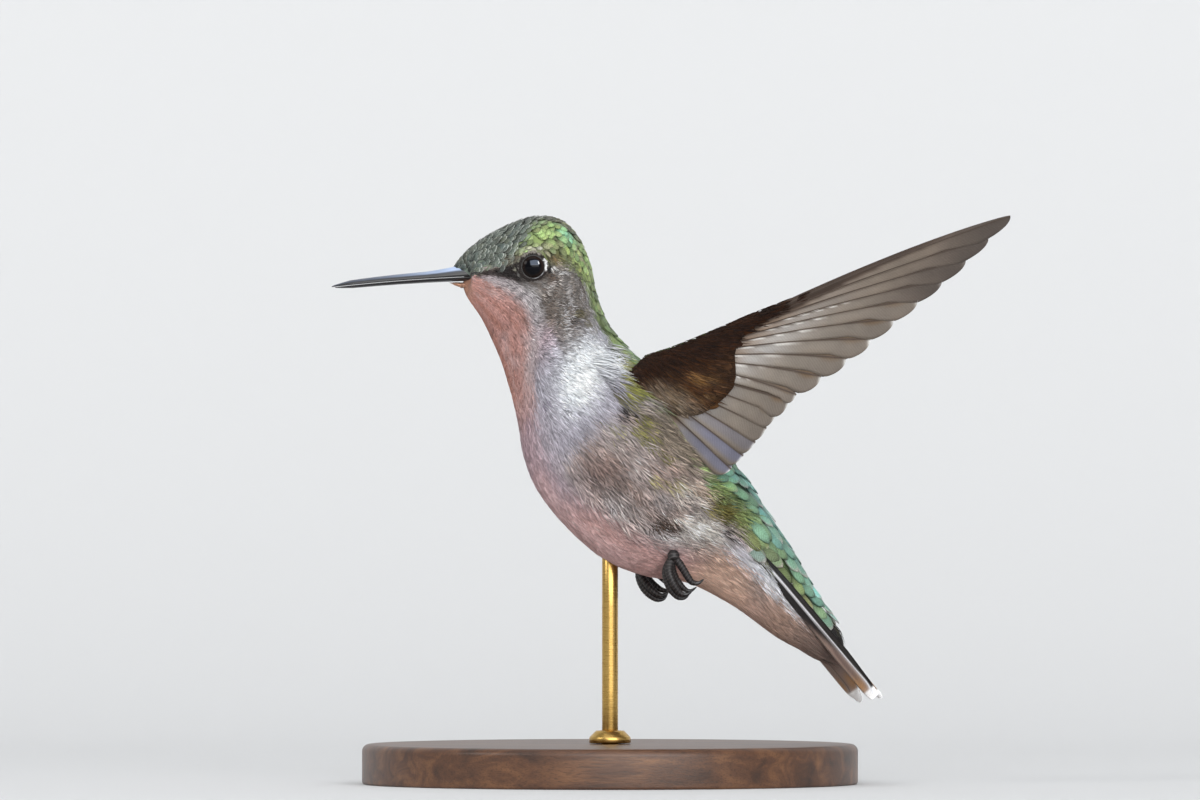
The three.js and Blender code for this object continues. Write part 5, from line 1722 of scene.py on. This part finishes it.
turned_piece("drawn_brass_rod", rod, BRASS, "stand_rod", 48)

# the collar is a closed ring, so its profile is a loop and its last point is joined to the first
loop = np.array([
    (1.3, 5.1), (2.45, 5.1), (2.6, 5.2), (2.6, 5.75), (2.52, 5.92),
    (1.95, 6.5), (1.75, 6.68), (1.4, 6.7), (1.3, 6.6), (1.3, 5.9),
])
ring_points = carried_round(loop, turns(96)).swapaxes(0, 1)
ring_faces = tube_faces(96, len(loop), closed=True)[:, [0, 3, 2, 1]]
collar = make_piece("turned_brass_collar", ring_points, ring_faces, material=BRASS)
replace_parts(collar, "stand_collar")

# %% [markdown]
# ## Floor, light and camera
# The floor is a pale sheet swept up behind the bird, which can be seen through from behind. A large
# soft lamp high in front stands for the sky, a lower one fills from the front, and three weaker ones
# come from above, from the left and from behind. The world gives an even base, so that a colour comes
# out about as it is written. The camera looks level at the bird's left side with a long lens.

# %% Backdrop
def backdrop():
    """A floor that bends up in a quarter circle of radius 0.25 m, 0.2 m behind the bird."""
    start, radius = 0.2, 0.25
    bend = np.linspace(0, np.pi / 2, 24)[1:]
    y = np.concatenate([np.linspace(-3, start, 20), start + radius * np.sin(bend), [start + radius] * 6])
    z = np.concatenate([np.zeros(20), radius - radius * np.cos(bend), np.linspace(0.5, 2.5, 6)])
    row, x = grid(np.arange(len(y)), np.linspace(-2.5, 2.5, 3))
    points = np.stack([x, y[row], z[row]], -1).reshape(-1, 3)
    i, j = grid(np.arange(len(y) - 1) * 3, np.arange(2))
    faces = np.stack([i + j, i + j + 1, i + j + 4, i + j + 3], -1).reshape(-1, 4)
    mesh = bpy.data.meshes.new("paper_sweep")
    mesh.from_pydata(points.tolist(), [], faces.tolist())
    mesh.polygons.foreach_set("use_smooth", np.ones(len(faces), bool))
    sheet = bpy.data.objects.new("paper_sweep", mesh)
    bpy.context.scene.collection.objects.link(sheet)
    material, tree = new_material("pale_backdrop_paper")
    paper = node(tree, "BsdfPrincipled", {"Base Color": rgba("#D8D9DA"), "Roughness": 0.9})
    side = node(tree, "NewGeometry")
    clear = node(tree, "BsdfTransparent")
    one_way = node(tree, "MixShader", None, {0: side.outputs["Backfacing"], 1: paper, 2: clear})
    node(tree, "OutputMaterial", links={"Surface": one_way})
    mesh.materials.append(material)
    sheet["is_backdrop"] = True


backdrop()

# %% Lamps, world and camera
def area_lamp(name, place, aim, size, power, colour):
    """A rectangular soft lamp at a place in metres, turned to face a point; size is width and height."""
    lamp = bpy.data.lights.new(name, "AREA")
    lamp.shape, lamp.size, lamp.size_y = "RECTANGLE", *size
    lamp.energy, lamp.color = power, linear(colour).tolist()
    piece = bpy.data.objects.new(name, lamp)
    bpy.context.scene.collection.objects.link(piece)
    piece.location = place
    piece.rotation_euler = (Vector(aim) - Vector(place)).to_track_quat("-Z", "Y").to_euler()


BIRD = (0, 0, 0.05)
area_lamp("sky_window", (0.15, -1.2, 0.75), BIRD, (1.5, 1.0), 11.5, "#FBFDFF")
area_lamp("low_front_fill", (0.45, -1.45, 0.3), BIRD, (1.5, 0.5), 9.5, "#FFFDFB")
area_lamp("overhead_sky", (-0.1, -0.35, 1.2), BIRD, (0.9, 0.8), 1.8, "#F8FBFF")
area_lamp("left_key", (-0.95, -0.5, 0.6), BIRD, (0.4, 0.4), 2.4, "#FFFEFB")
area_lamp("back_rim", (0.5, 0.7, 0.7), BIRD, (0.6, 0.6), 2.0, "#FFFFFF")

# two lamps on each side shine on the eyes alone: a pale blue window and a small bright gleam
eyes = bpy.data.collections.new("eyes_only")
for word in ("left", "right"):
    eyes.objects.link(bpy.data.objects[f"eyeball_{word}"])
for side in (-1, 1):
    for kind, (x, y, z), size, power, colour in (
        ("window", (0.2, 0.85, 0.6), (1.2, 0.7), 60.0, "#B9CBE6"),
        ("gleam", (0.75, 0.75, 0.62), (0.16, 0.4), 22.0, "#FFFFFF"),
    ):
        name = f"catchlight_{kind}_{side}"
        area_lamp(name, (x, side * y, z), (-0.01, 0, 0.065), size, power, colour)
        bpy.data.objects[name].light_linking.receiver_collection = eyes

world = bpy.data.worlds.new("studio_air")
bpy.context.scene.world = world
world.use_nodes = True
world.node_tree.nodes.clear()
air = node(world.node_tree, "Background", {"Color": (1.0, 1.0, 1.0, 1.0), "Strength": 0.47})
node(world.node_tree, "OutputWorld", links={"Surface": air})

view = bpy.data.cameras.new("long_lens")
view.lens, view.sensor_width = 480, 36
view.clip_start, view.clip_end = 0.05, 20
camera = bpy.data.objects.new("long_lens", view)
bpy.context.scene.collection.objects.link(camera)
camera.location = (-0.00125, -2.0, 0.048)
camera.rotation_euler = (np.pi / 2, 0, 0)
bpy.context.scene.camera = camera
bpy.context.scene.view_settings.view_transform = "Standard"
print("camera at", tuple(camera.location), "with a lens of", view.lens, "mm")

# %% Sizes, and the end
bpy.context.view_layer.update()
total = sum(sum(len(f.vertices) - 2 for f in o.data.polygons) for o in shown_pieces() if o.type == "MESH")
print("triangles shown:", total)
